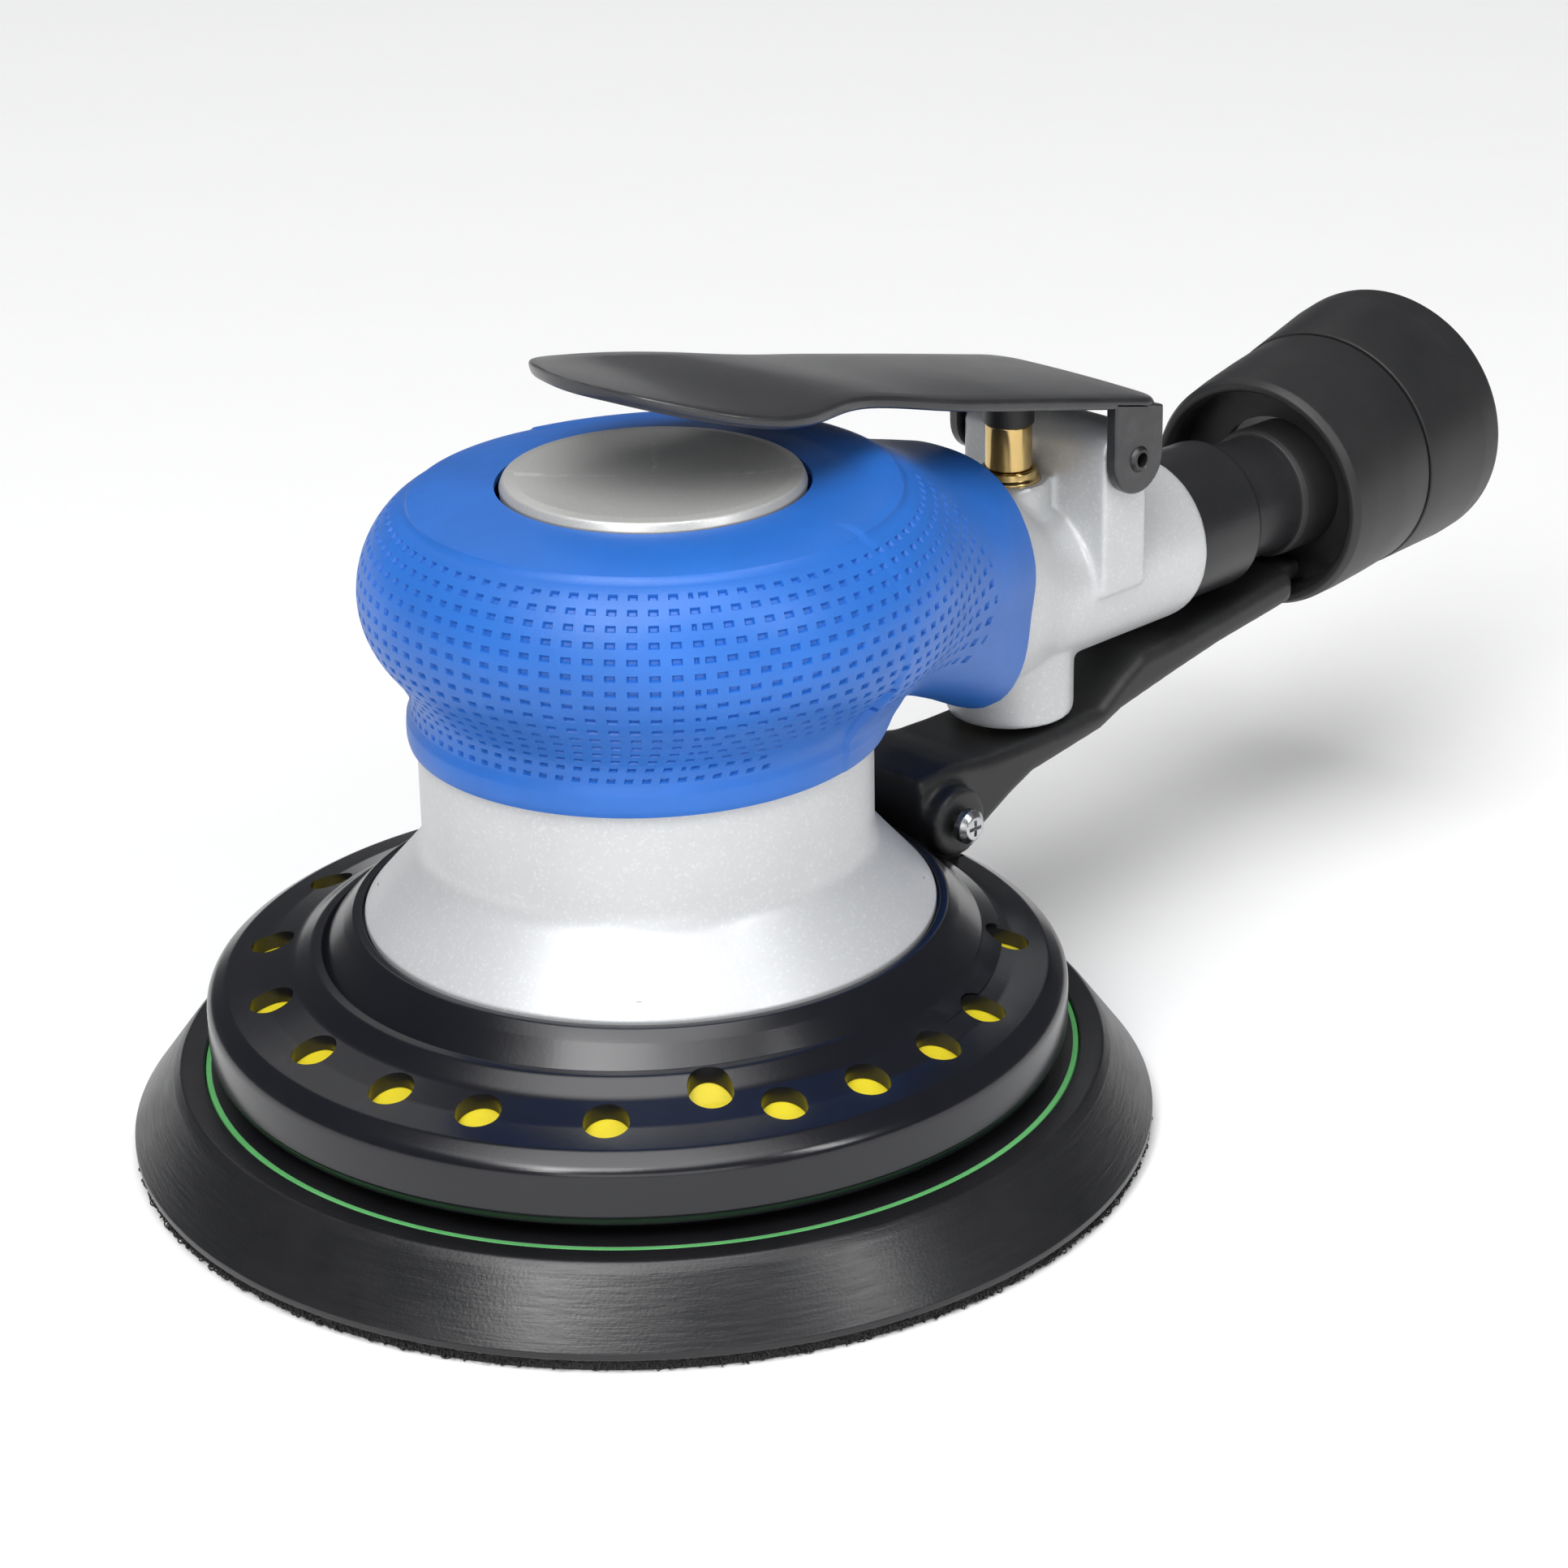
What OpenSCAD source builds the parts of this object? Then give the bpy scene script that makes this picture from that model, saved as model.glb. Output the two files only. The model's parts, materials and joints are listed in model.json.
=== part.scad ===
// Air-driven random orbital sander with a dust shroud and a vacuum hose cuff.
// The origin lies on the motor axis, in the plane of the hook face's underside.
// The handle runs along +X and +Z is up.

/* [Pad] */
// Radius of the backing pad at its widest
pad_r = 75; // [73:0.5:78]
// Thickness of the hook layer under the pad
hook_t = 1.6; // [1:0.2:2.4]
// Height of the pad's top rim above the hook layer
foam_h = 11.1; // [10.5:0.1:11.6]
// Distance from the motor axis to the pad axis
orbit_r = 2.5; // [1.5:0.5:3]
// Radius of the circle of dust holes in the pad
dust_ring_r = 40; // [34:1:46]
// Radius of each dust hole
dust_hole_r = 5; // [3:0.5:6]
// Number of dust holes
dust_holes = 6; // [5:1:8]

/* [Shroud] */
// Outer radius of the shroud
shroud_r = 62.8; // [62:0.2:65]
// Offset of the shroud's skirt from the motor axis
shroud_shift = 3; // [0:0.5:3]
// Radius of each vent hole
vent_r = 3.2; // [2:0.2:4]
// Radius of the circle of vent holes
vent_ring_r = 54; // [53:0.5:55]

/* [Housing] */
// Outer radius of the motor housing
body_r = 32.7; // [32:0.1:34]
// Radius of the flange at the housing's foot
flange_r = 41.6; // [40:0.2:41.8]
// Radius of the motor bore
motor_bore_r = 27.1; // [26:0.1:28]
// Height at which the rubber grip starts
grip_z = 61.5; // [60:0.5:63]
// Radius of the handle tube
tube_r = 13.4; // [13:0.1:14.5]
// Distance from the motor axis to the end of the handle tube
tube_end = 109.3; // [106:0.5:116]
// Height of the handle tube's axis
tube_z = 61.4; // [61:0.2:62]

/* [Grip] */
// Largest radius of the palm grip
grip_r = 42.5; // [40:0.5:45]
// Height of the grip's top
grip_top = 96.5; // [96:0.5:99]
// Shift of the grip's bulb and of its cap toward the handle
bulb_shift = 3; // [0:0.5:3]
// Radius of the round cap in the grip's top
cap_r = 21.7; // [18:0.1:24]

/* [Motor] */
// Radius of the rotor
rotor_r = 18.5; // [17:0.1:18.6]
// Offset of the liner's bore from the motor axis
liner_shift = 1.7; // [1:0.1:1.7]
// Number of vanes
vanes = 5; // [4:1:6]
// Thickness of a vane
vane_t = 2; // [1.5:0.1:2.4]
// Radius of the lower journal of the motor shaft and of the drive spindle
journal_r = 5.97; // [5.5:0.01:6.2]

/* [Valve and lever] */
// Distance from the motor axis to the valve
valve_x = 76.5; // [76:0.5:78]
// Radius of the brass valve stem
stem_r = 3.6; // [3:0.1:3.8]
// Distance from the motor axis to the lever's pin
pin_x = 87; // [87:0.5:88]
// Height of the lever's pin
pin_z = 83.5; // [83:0.5:84]
// Radius of the lever's pin
pin_r = 2; // [1.5:0.1:2.2]
// Thickness of the lever plate
lever_t = 2; // [1.6:0.1:2.4]
// Half the width of the lever at its pin
lever_half_w = 17.3; // [17:0.1:19]
// Half the width of the lever's paddle
paddle_half_w = 22; // [19:0.5:24]

/* [Inlet and hose cuff] */
// Radius of the threaded air inlet
inlet_r = 5.7; // [5:0.1:6.5]
// Radius of the hose cuff's bore
hose_r = 16.5; // [15.5:0.1:17]
// Wall of the hose cuff at its rear edge
cuff_wall = 5.8; // [5:0.1:7.5]
// Swing of the hose cuff to the side, in degrees
cuff_yaw = 8; // [0:1:9]
// Rise of the hose cuff, in degrees
cuff_rise = 3.5; // [0:0.5:4]

/* [Hidden] */
$fn = 96;

eps = 0.01;          // overreach of a cut
slip = 0.03;         // running clearance on radius
seat = 0.05;         // clearance of a seated piece
gap = 0.3;           // clearance between pieces that move apart

// Heights of the pad stack
foam_top = hook_t + foam_h;
plate_t = 3;
plate_top = foam_top - 0.2;
plate_bottom = plate_top - plate_t;
recess_r = pad_r - 10.8;
plate_r = recess_r - 0.2;
hub_top = plate_top + 5.5;

// Heights of the motor
lock_z = 37;
plate_z = 43;
liner_z = 52;
liner_top = 70;
end_plate_top = 78;
bearing_z = 21;
bearing_top = 33;
cup_bottom = bearing_z - 1.2;
cup_top = 36;
cup_r = 17;
bearing_r = 13;
upper_journal_r = 3.97;
upper_bearing_r = 9.5;
liner_bore_r = rotor_r + liner_shift + gap;
weight_r = 30;

// Housing
inner_body_r = body_r - 2.2;
flange_z = 33.5;
bore_top = end_plate_top + 0.5;
lock_r = motor_bore_r + 2.8;
dome_z = 86;

// Valve, boss heights
boss_top = 79.2;
boss_bottom = 40.7;
valve_bore_r = stem_r + 1.4;
plug_bore_r = 7.5;
seat_z = 54;
plug_z = 41.2;
plug_top = 44;
stem_top = 88.2;
dial_x = pin_x + 4;

// Inlet
neck_end = tube_end + 14.7;
bushing_end = tube_end + 36.7;
bushing_neck_r = 8.5;
bushing_r = 9.8;
bushing_thread_r = 8;
screen_r = inlet_r + 0.6;

// Hose socket, along its own axis
socket_x = tube_end + 26.7;
socket_len = 22;
spigot_len = 12;
spigot_r = hose_r + 1.4;
socket_r = spigot_r + 2.7;
cuff_r = hose_r + cuff_wall;
cuff_len = 21;

// Exhaust duct and its clamp
duct_w = 20;
duct_x0 = 46;
duct_neck = 10;
duct_wall = 2;
duct_under = boss_bottom - 0.8;
duct_end = socket_x - 1.1;
tongue_end = socket_x + 5.5;
tongue_w = 12;
clamp_x = 52;
clamp_z = 33;
cup_in_r = spigot_r - 0.6;
cup_depth = 7;

// Angles of the vent holes about the shroud's centre, in degrees
vent_angles = [107, 131, 152, 171, 189, 204, 223, 239, 249, 263, 278, 292, 317];
inner_vent_angle = 239;
inner_vent_step = 4.5;

// Lever: height of its top face at points along the handle
lever_line = [[-30, 119.9], [-12, 115.5], [5, 111.3], [25, 107.8], [47, 102.6], [66, 98.3],
    [88, 93.2], [94.5, 91.6], [110, 88]];
lever_tip = -12;
lever_rear = 92.5;
paddle_x = 9;
waist_x = 33;
waist_w = 15.4;
shoulder_x = 50;

function smooth(t) = (1 - cos(180 * t)) / 2;
function mix(a, b, t) = a + (b - a) * t;

// A Catmull-Rom curve through the points, sampled n times a span
function spline_at(a, b, c, d, t) =
    0.5 * (2 * b + (c - a) * t + (2 * a - 5 * b + 4 * c - d) * t * t
        + (3 * b - 3 * c + d - a) * t * t * t);
function spline(p, n) = [for (i = [1 : len(p) - 3]) for (k = [0 : n - 1])
    spline_at(p[i - 1], p[i], p[i + 1], p[i + 2], k / n)];

// Half the lever's width at a distance from the motor axis
function lever_w(x) =
    x < paddle_x
        ? paddle_half_w * sqrt(max(0, 1 - pow((paddle_x - x) / (paddle_x - lever_tip), 2)))
    : x < waist_x
        ? mix(paddle_half_w, waist_w, smooth((x - paddle_x) / (waist_x - paddle_x)))
    : x < shoulder_x
        ? mix(waist_w, lever_half_w, smooth((x - waist_x) / (shoulder_x - waist_x)))
    : lever_half_w;

// A cylinder along X that starts at [x, y, z]
module rod_x(at, r, len) {
    translate(at) rotate([0, 90, 0]) cylinder(r = r, h = len);
}

// A cylinder along Y that starts at [x, y, z]
module rod_y(at, r, len) {
    translate(at) rotate([-90, 0, 0]) cylinder(r = r, h = len);
}

module ring(r_out, r_in, z, top) {
    translate([0, 0, z]) difference() {
        cylinder(r = r_out, h = top - z);
        translate([0, 0, -eps]) cylinder(r = r_in, h = top - z + 2 * eps);
    }
}

// A sealed ball bearing with shallow grooves that mark its shields
module sealed_bearing(r_out, r_in, z, top) {
    wall = (r_out - r_in) / 4;
    translate([0, 0, z]) rotate_extrude()
        polygon([[r_in, 0], [r_in + wall, 0], [r_in + wall, 0.3], [r_out - wall, 0.3],
            [r_out - wall, 0], [r_out, 0], [r_out, top - z], [r_out - wall, top - z],
            [r_out - wall, top - z - 0.3], [r_in + wall, top - z - 0.3],
            [r_in + wall, top - z], [r_in, top - z]]);
}

module dust_hole_set(z, top) {
    for (i = [0 : dust_holes - 1])
        rotate([0, 0, (i + 0.5) * 360 / dust_holes])
            translate([dust_ring_r, 0, z]) cylinder(r = dust_hole_r, h = top - z, $fn = 48);
}

module at_pad() {
    translate([-orbit_r, 0, 0]) children();
}

module at_cuff() {
    translate([socket_x, 0, tube_z]) rotate([0, -cuff_rise, cuff_yaw]) rotate([0, 90, 0])
        rotate([0, 0, 90]) children();
}

// ---- Pad ----

module hook_face() {
    color("#161616") at_pad() difference() {
        cylinder(r = pad_r - 0.5, h = hook_t);
        dust_hole_set(-eps, hook_t + eps);
    }
}

module pad_foam() {
    color("#1b1c1e") at_pad() difference() {
        rotate_extrude()
            polygon([[0, hook_t], [pad_r - 0.3, hook_t], [pad_r, hook_t + 0.4],
                [pad_r, hook_t + 1.3], [pad_r - 6.4, foam_top - 1.3], [pad_r - 7.2, foam_top - 0.3],
                [pad_r - 8.1, foam_top], [recess_r, foam_top], [recess_r, plate_bottom],
                [0, plate_bottom]]);
        dust_hole_set(hook_t - eps, plate_bottom + eps);
    }
}

module pad_plate() {
    color("#3f9a4a") at_pad() difference() {
        translate([0, 0, plate_bottom]) cylinder(r = plate_r, h = plate_t);
        translate([0, 0, plate_bottom - eps]) cylinder(r = 8, h = plate_t + 2 * eps);
        dust_hole_set(plate_bottom - eps, plate_top + eps);
        pad_screw_set() pad_screw_shape(0.1);
    }
}

module pad_screw_set() {
    for (a = [0 : 90 : 270])
        rotate([0, 0, a + 45]) translate([16, 0, 0]) children();
}

module pad_screw_shape(grow) {
    translate([0, 0, plate_bottom + 0.4 - grow]) cylinder(r = 2 + grow, h = 5.2, $fn = 32);
}

module pad_hub() {
    color("#9a9ca0") at_pad() difference() {
        union() {
            translate([0, 0, plate_top]) cylinder(r = 21, h = 2);
            translate([0, 0, plate_bottom + 0.1]) cylinder(r = 7.9, h = hub_top - plate_bottom - 0.1);
            translate([0, 0, plate_top]) cylinder(r = 11, h = hub_top - plate_top);
        }
        translate([0, 0, plate_bottom]) cylinder(r = 4.05, h = 20);
        pad_screw_set() pad_screw_shape(0.1);
    }
}

module pad_screws() {
    color("#b8babd") at_pad() pad_screw_set() union() {
        translate([0, 0, plate_bottom + 0.4]) cylinder(r = 2, h = plate_t + 1.6, $fn = 32);
        translate([0, 0, plate_top + 2]) cylinder(r = 3.4, h = 1.4, $fn = 32);
    }
}

module drive_spindle() {
    color("#8d8f92") at_pad() union() {
        translate([0, 0, plate_bottom + 0.6]) cylinder(r = 4, h = hub_top - plate_bottom);
        translate([0, 0, hub_top]) cylinder(r = 8, h = bearing_z - gap - hub_top);
        translate([0, 0, hub_top]) cylinder(r = journal_r, h = bearing_top + 0.6 - hub_top);
    }
}

// ---- Motor ----

module balancer_shaft() {
    color("#85878b") union() {
        difference() {
            union() {
                at_pad() translate([0, 0, cup_bottom]) cylinder(r = cup_r, h = cup_top - cup_bottom);
                intersection() {
                    translate([0, 0, bearing_z]) cylinder(r = weight_r, h = 9);
                    translate([6, -weight_r, bearing_z]) cube([weight_r, 2 * weight_r, 9]);
                }
            }
            at_pad() translate([0, 0, cup_bottom - eps])
                cylinder(r = bearing_r, h = bearing_top + 1.2 - cup_bottom);
        }
        translate([0, 0, cup_top - eps]) cylinder(r = 8, h = plate_z - gap - cup_top);
        translate([0, 0, cup_top]) cylinder(r = journal_r, h = liner_top + 0.8 - cup_top);
        translate([0, 0, liner_top]) cylinder(r = upper_journal_r, h = end_plate_top - liner_top);
    }
}

module spindle_bearing() {
    color("#b5b7ba") at_pad() sealed_bearing(bearing_r, journal_r + slip, bearing_z, bearing_top);
}

module bearing_retainer() {
    color("#55585c") at_pad() ring(bearing_r, 9.5, cup_bottom, bearing_z);
}

module vane_slots(grow, z, top) {
    for (i = [0 : vanes - 1])
        rotate([0, 0, i * 360 / vanes + 90])
            translate([rotor_r - 8 - grow, -vane_t / 2 - grow, z])
                cube([8 + grow - 0.1 + 10 * grow, vane_t + 2 * grow, top - z]);
}

module rotor() {
    color("#7c7f83") difference() {
        translate([0, 0, liner_z + gap]) cylinder(r = rotor_r, h = liner_top - liner_z - 2 * gap);
        translate([0, 0, liner_z]) cylinder(r = journal_r + slip, h = 30);
        vane_slots(seat, liner_z, liner_top);
        translate([-1.55, journal_r - 1, liner_z]) cube([3.1, 3, 30]);
    }
}

module rotor_vanes() {
    color("#6b4a2a") vane_slots(0, liner_z + gap, liner_top - gap);
}

module rotor_key() {
    color("#9fa1a4") translate([-1.5, journal_r + slip, liner_z + 4]) cube([3, 1.8, 10]);
}

module cylinder_liner() {
    color("#8e9195") difference() {
        translate([0, 0, liner_z]) cylinder(r = motor_bore_r - seat, h = liner_top - liner_z);
        translate([0, liner_shift, liner_z - eps])
            cylinder(r = liner_bore_r, h = liner_top - liner_z + 2 * eps);
        rod_x([12, 0, tube_z], 3, 20);
        rod_x([-32, 0, tube_z], 4, 20);
    }
}

module lower_end_plate() {
    color("#a3a6aa") difference() {
        translate([0, 0, plate_z]) cylinder(r = motor_bore_r - seat, h = liner_z - plate_z);
        translate([0, 0, plate_z - eps]) cylinder(r = bearing_r + eps, h = 7 + eps);
        translate([0, 0, plate_z]) cylinder(r = 7.5, h = 20);
    }
}

module upper_end_plate() {
    color("#a3a6aa") difference() {
        translate([0, 0, liner_top]) cylinder(r = motor_bore_r - seat, h = end_plate_top - liner_top);
        translate([0, 0, liner_top + 1.5]) cylinder(r = upper_bearing_r, h = 20);
        translate([0, 0, liner_top - eps]) cylinder(r = 7, h = 20);
    }
}

module lower_bearing() {
    color("#b5b7ba") sealed_bearing(bearing_r, journal_r + slip, plate_z, plate_z + 7);
}

module upper_bearing() {
    color("#b5b7ba") sealed_bearing(upper_bearing_r, upper_journal_r + slip,
        liner_top + 1.5, liner_top + 7.5);
}

module lock_ring() {
    color("#6d7074") difference() {
        ring(lock_r - seat, 22, lock_z, plate_z);
        for (a = [0 : 90 : 270])
            rotate([0, 0, a]) translate([25.8, 0, lock_z - eps]) cylinder(r = 1.6, h = 3, $fn = 32);
    }
}

// ---- Housing ----

// The outer shape of the casting behind the round body: a deep upper part over the tube
module casting_neck(grow) {
    rod_x([10, 0, tube_z], 15 + grow, 58);
    rod_x([10, 0, 70], 16.8 + grow, 56);
    translate([10, -16 - grow, tube_z]) cube([55, 32 + 2 * grow, 70 - tube_z]);
}

module motor_housing() {
    color("#d3d5d6") difference() {
        union() {
            rotate_extrude()
                polygon([[0, flange_z], [flange_r - 0.8, flange_z - 0.3], [flange_r, flange_z],
                    [flange_r, flange_z + 0.8], [flange_r - 0.6, flange_z + 1.5],
                    [body_r + 4.2, 39.7], [body_r + 2.4, 41.2], [body_r + 1.0, 42.8],
                    [body_r + 0.25, 44.2], [body_r, 46], [body_r, grip_z - seat],
                    [inner_body_r, grip_z - seat], [inner_body_r, dome_z - 4],
                    [inner_body_r - 1.2, dome_z - 1.2], [inner_body_r - 4, dome_z],
                    [inner_body_r - 6, dome_z + 0.4], [0, dome_z + 0.4]]);
            casting_neck(0);
            // Cones that carry the neck into the tube
            translate([68, 0, tube_z]) rotate([0, 90, 0]) cylinder(r1 = 15, r2 = tube_r, h = 7);
            translate([66, 0, 70]) rotate([0, 90, 0]) cylinder(r1 = 16.8, r2 = 5, h = 9);
            rod_x([60, 0, tube_z], tube_r, tube_end - 61.2);
            translate([tube_end - 1.2, 0, tube_z]) rotate([0, 90, 0])
                cylinder(r1 = tube_r, r2 = tube_r - 1.2, h = 1.2);
            translate([valve_x, 0, tube_z]) cylinder(r = stem_r + 2.6, h = boss_top - tube_z);
            translate([valve_x, 0, boss_bottom + 1]) cylinder(r = 10, h = tube_z - boss_bottom);
            translate([valve_x, 0, boss_bottom]) cylinder(r1 = 9, r2 = 10, h = 1);
            // Block that carries the lever's pin
            translate([pin_x - 5, -lever_half_w + lever_t + gap, tube_z])
                cube([10, 2 * (lever_half_w - lever_t - gap), pin_z - tube_z]);
            rod_y([pin_x, -lever_half_w + lever_t + gap, pin_z], 5, 2 * (lever_half_w - lever_t - gap));
            rod_y([dial_x, 0, tube_z], 7, 16);
        }
        // Motor bore, lock ring bore and the open foot
        translate([0, 0, lock_z - 6]) cylinder(r = motor_bore_r, h = bore_top - lock_z + 6);
        translate([0, 0, lock_z - 6]) cylinder(r = lock_r, h = plate_z - lock_z + 6);
        translate([0, 0, flange_z - 1]) cylinder(r1 = 37, r2 = lock_r, h = 5);
        translate([0, 0, bore_top - eps]) cylinder(r = 20, h = 4);
        // Air passages and the inlet thread
        rod_x([motor_bore_r - 3, 0, tube_z], 4, 80 - motor_bore_r);
        rod_x([valve_x, 0, tube_z], 4.5, 40);
        rod_x([tube_end - 14, 0, tube_z], bushing_thread_r + seat, 20);
        // Valve bores
        translate([valve_x, 0, seat_z - eps]) cylinder(r = valve_bore_r, h = 40);
        translate([valve_x, 0, boss_bottom - 1]) cylinder(r = plug_bore_r, h = seat_z - boss_bottom + 1);
        // Lever pin and speed dial bores
        rod_y([pin_x, -30, pin_z], pin_r + eps, 60);
        rod_y([dial_x, 8.5, tube_z], 4.6, 12);
        // Tapped holes for the shroud's screws are in the foot's rim
        shroud_screw_set() translate([0, 0, -0.5]) cylinder(r = 1.3, h = 3.9, $fn = 32);
    }
}

// The grip's outer shape: a round bulb that draws out into a neck over the handle
module grip_outline() {
    rotate_extrude()
        polygon([[0, grip_z], [body_r + 0.6, grip_z], [body_r + 0.8, grip_z + 0.4],
            [body_r + 0.9, grip_z + 3.4], [body_r + 0.9, grip_z + 4.2], [body_r + 2.2, 68.5],
            [body_r + 2.4, 71], [0, 71]]);
    translate([bulb_shift, 0, 0]) rotate_extrude()
        polygon([[0, 67.5], [body_r, 67.5], [body_r + 5.2, 72], [grip_r - 2.2, 75.6], [grip_r - 0.6, 78.6], [grip_r, 81.4],
            [grip_r - 0.2, 84.4], [grip_r - 1.3, 88], [grip_r - 3.4, 91.6], [grip_r - 5.8, 93.9],
            [grip_r - 9.5, 95.2], [grip_r - 14, 96.0], [cap_r + 2.5, grip_top], [0, grip_top]]);
    hull() {
        translate([8, 0, 72]) cylinder(r = 31, h = 17, $fn = 64);
        translate([4, 0, 66]) cylinder(r = 28, h = 29, $fn = 64);
        rod_x_faceted([58, 0, 70], 18.2, 3.4);
        rod_x_faceted([56, 0, 62.6], 16.6, 5);
    }
}

module rod_x_faceted(at, r, len) {
    translate(at) rotate([0, 90, 0]) cylinder(r = r, h = len, $fn = 48);
}

module palm_grip() {
    color("#2f74d0") difference() {
        grip_outline();
        translate([0, 0, grip_z - 30]) cylinder(r = inner_body_r + seat, h = dome_z - grip_z + 30.5);
        translate([0, 0, grip_z - 40]) cylinder(r = body_r + seat, h = 40);
        casting_neck(seat);
        translate([bulb_shift, 0, grip_top - 2]) cylinder(r = cap_r + 0.5, h = 10);
        translate([bulb_shift, 0, 80]) cylinder(r = 12.2, h = 30);
    }
}

module top_cap() {
    color("#bdbdb9") translate([bulb_shift, 0, 0]) union() {
        translate([0, 0, dome_z + 1]) cylinder(r = 12, h = grip_top - dome_z - 2.5);
        rotate_extrude()
            polygon([[0, grip_top - 1.9], [cap_r, grip_top - 1.9], [cap_r, grip_top + 0.9],
                [cap_r - 0.3, grip_top + 1.5], [cap_r - 1.0, grip_top + 1.9],
                [cap_r - 2.2, grip_top + 2], [12, grip_top + 1.7], [0, grip_top + 1.5]]);
    }
}

// ---- Lever and valve ----

module throttle_lever() {
    top = spline(lever_line, 8);
    plan_x = concat([for (i = [0 : 16]) lever_tip + (paddle_x - lever_tip) * (1 - cos(i * 90 / 16))],
        [for (i = [1 : 20]) mix(paddle_x, shoulder_x, i / 20)]);
    corner = 4;
    rear = concat([for (a = [0 : 15 : 90])
        [lever_rear - corner + corner * sin(a), lever_half_w - corner + corner * cos(a)]]);
    half = concat([for (x = plan_x) [x, lever_w(x)]], rear);
    color("#1c1d1f") difference() {
        union() {
            intersection() {
                rotate([90, 0, 0]) translate([0, 0, -40]) linear_extrude(height = 80)
                    polygon(concat(top, [for (i = [len(top) - 1 : -1 : 0])
                        [top[i][0], top[i][1] - lever_t]]));
                translate([0, 0, 60]) linear_extrude(height = 80)
                    polygon(concat(half, [for (i = [len(half) - 1 : -1 : 0])
                        [half[i][0], -half[i][1]]]));
            }
            for (side = [-1, 1])
                translate([0, side * (lever_half_w - lever_t / 2), 0]) {
                    rod_y([pin_x, -lever_t / 2, pin_z], 5.5, lever_t);
                    translate([pin_x - 5.5, -lever_t / 2, pin_z])
                        rotate([90, 0, 0]) translate([0, 0, -lever_t]) linear_extrude(height = lever_t)
                            polygon([[0, 0], [11, 0], [11, 7], [0, 9.4]]);
                }
        }
        rod_y([pin_x, -30, pin_z], pin_r + slip, 60);
    }
}

module lever_pin() {
    color("#2a2b2d") difference() {
        rod_y([pin_x, -lever_half_w - 0.6, pin_z], pin_r, 2 * lever_half_w + 1.2);
        rod_y([pin_x, -40, pin_z], pin_r - 0.8, 80);
    }
}

module valve_stem() {
    color("#c9a558") translate([valve_x, 0, 0]) union() {
        translate([0, 0, 67]) cylinder(r = stem_r, h = stem_top - 67);
        translate([0, 0, seat_z - 2]) cylinder(r = 2, h = 14);
        translate([0, 0, seat_z - 3.2]) cylinder(r = 4.2, h = 3);
    }
}

module stem_cap() {
    color("#222325") translate([valve_x, 0, stem_top]) union() {
        cylinder(r = stem_r + 0.3, h = 3.6);
        translate([0, 0, 3.6 - eps]) cylinder(r1 = stem_r + 0.3, r2 = 2, h = 1.4);
    }
}

module valve_bushing() {
    color("#b8924a") translate([valve_x, 0, 0])
        ring(valve_bore_r - seat, stem_r + slip, 74, boss_top + 0.6);
}

module stem_seal() {
    color("#151515") translate([valve_x, 0, 0])
        ring(valve_bore_r - seat, stem_r + slip, 71.4, 73.9);
}

module valve_seat() {
    color("#c9a558") translate([valve_x, 0, 0]) ring(valve_bore_r - seat, 2.8, seat_z, seat_z + 2.4);
}

module valve_plug() {
    color("#b8924a") translate([valve_x, 0, 0]) difference() {
        translate([0, 0, plug_z]) cylinder(r = plug_bore_r - seat, h = plug_top - plug_z);
        translate([-5, -0.8, plug_z - eps]) cube([10, 1.6, 1.2]);
    }
}

// A coil spring: one tube swept along a helix
module valve_spring() {
    wire = 0.4;
    coil_r = 3.2;
    turns = 4;
    steps = turns * 16;
    sides = 8;
    z0 = plug_top + wire + seat;
    z1 = seat_z - 3.2 - wire - seat;
    rows = [for (i = [0 : steps]) for (k = [0 : sides - 1])
        let (a = 360 * i / 16, b = 360 * k / sides, r = coil_r + wire * cos(b))
            [r * cos(a), r * sin(a), mix(z0, z1, i / steps) + wire * sin(b)]];
    side_faces = [for (i = [0 : steps - 1]) for (k = [0 : sides - 1])
        let (a = i * sides + k, b = i * sides + (k + 1) % sides)
            [a, a + sides, b + sides, b]];
    color("#a8aaad") translate([valve_x, 0, 0])
        polyhedron(points = rows, faces = concat([[for (k = [0 : sides - 1]) k]], side_faces,
            [[for (k = [sides - 1 : -1 : 0]) steps * sides + k]]), convexity = 10);
}

module speed_dial() {
    color("#1b1b1c") difference() {
        union() {
            rod_y([dial_x, 9, tube_z], 4.57, 8);
            rod_y([dial_x, 16 + gap, tube_z], 6, 3.2);
        }
        translate([dial_x - 5, 18.3, tube_z - 0.7]) cube([10, 3, 1.4]);
        rod_y([dial_x, 12, tube_z], 5, 1.5 + eps);
    }
    color("#1b1b1c") rod_y([dial_x, 11.9, tube_z], 3.4, 1.8);
}

module dial_seal() {
    color("#101010") translate([dial_x, 12.1, tube_z]) rotate([-90, 0, 0])
        ring(4.5, 3.5, 0, 1.3);
}

// ---- Inlet ----

module inlet_bushing() {
    color("#26272a") difference() {
        union() {
            rod_x([tube_end - 13.5, 0, tube_z], bushing_thread_r, 15);
            rod_x([tube_end - 1, 0, tube_z], bushing_thread_r, 4);
            rod_x([tube_end + 1, 0, tube_z], bushing_neck_r - 0.5, neck_end - tube_end);
            rod_x([neck_end, 0, tube_z], bushing_r, bushing_end - neck_end);
        }
        rod_x([tube_end - 20, 0, tube_z], 4.5, 60);
        rod_x([bushing_end - 18, 0, tube_z], screen_r + seat, 2);
        rod_x([bushing_end - 17, 0, tube_z], inlet_r, 30);
    }
}

module inlet_sleeve() {
    color("#1d1e20") difference() {
        rod_x([tube_end + 0.1, 0, tube_z], tube_r - 1.2, neck_end - tube_end - 0.2);
        rod_x([tube_end - 1, 0, tube_z], bushing_neck_r - 0.4, 30);
    }
}

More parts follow.
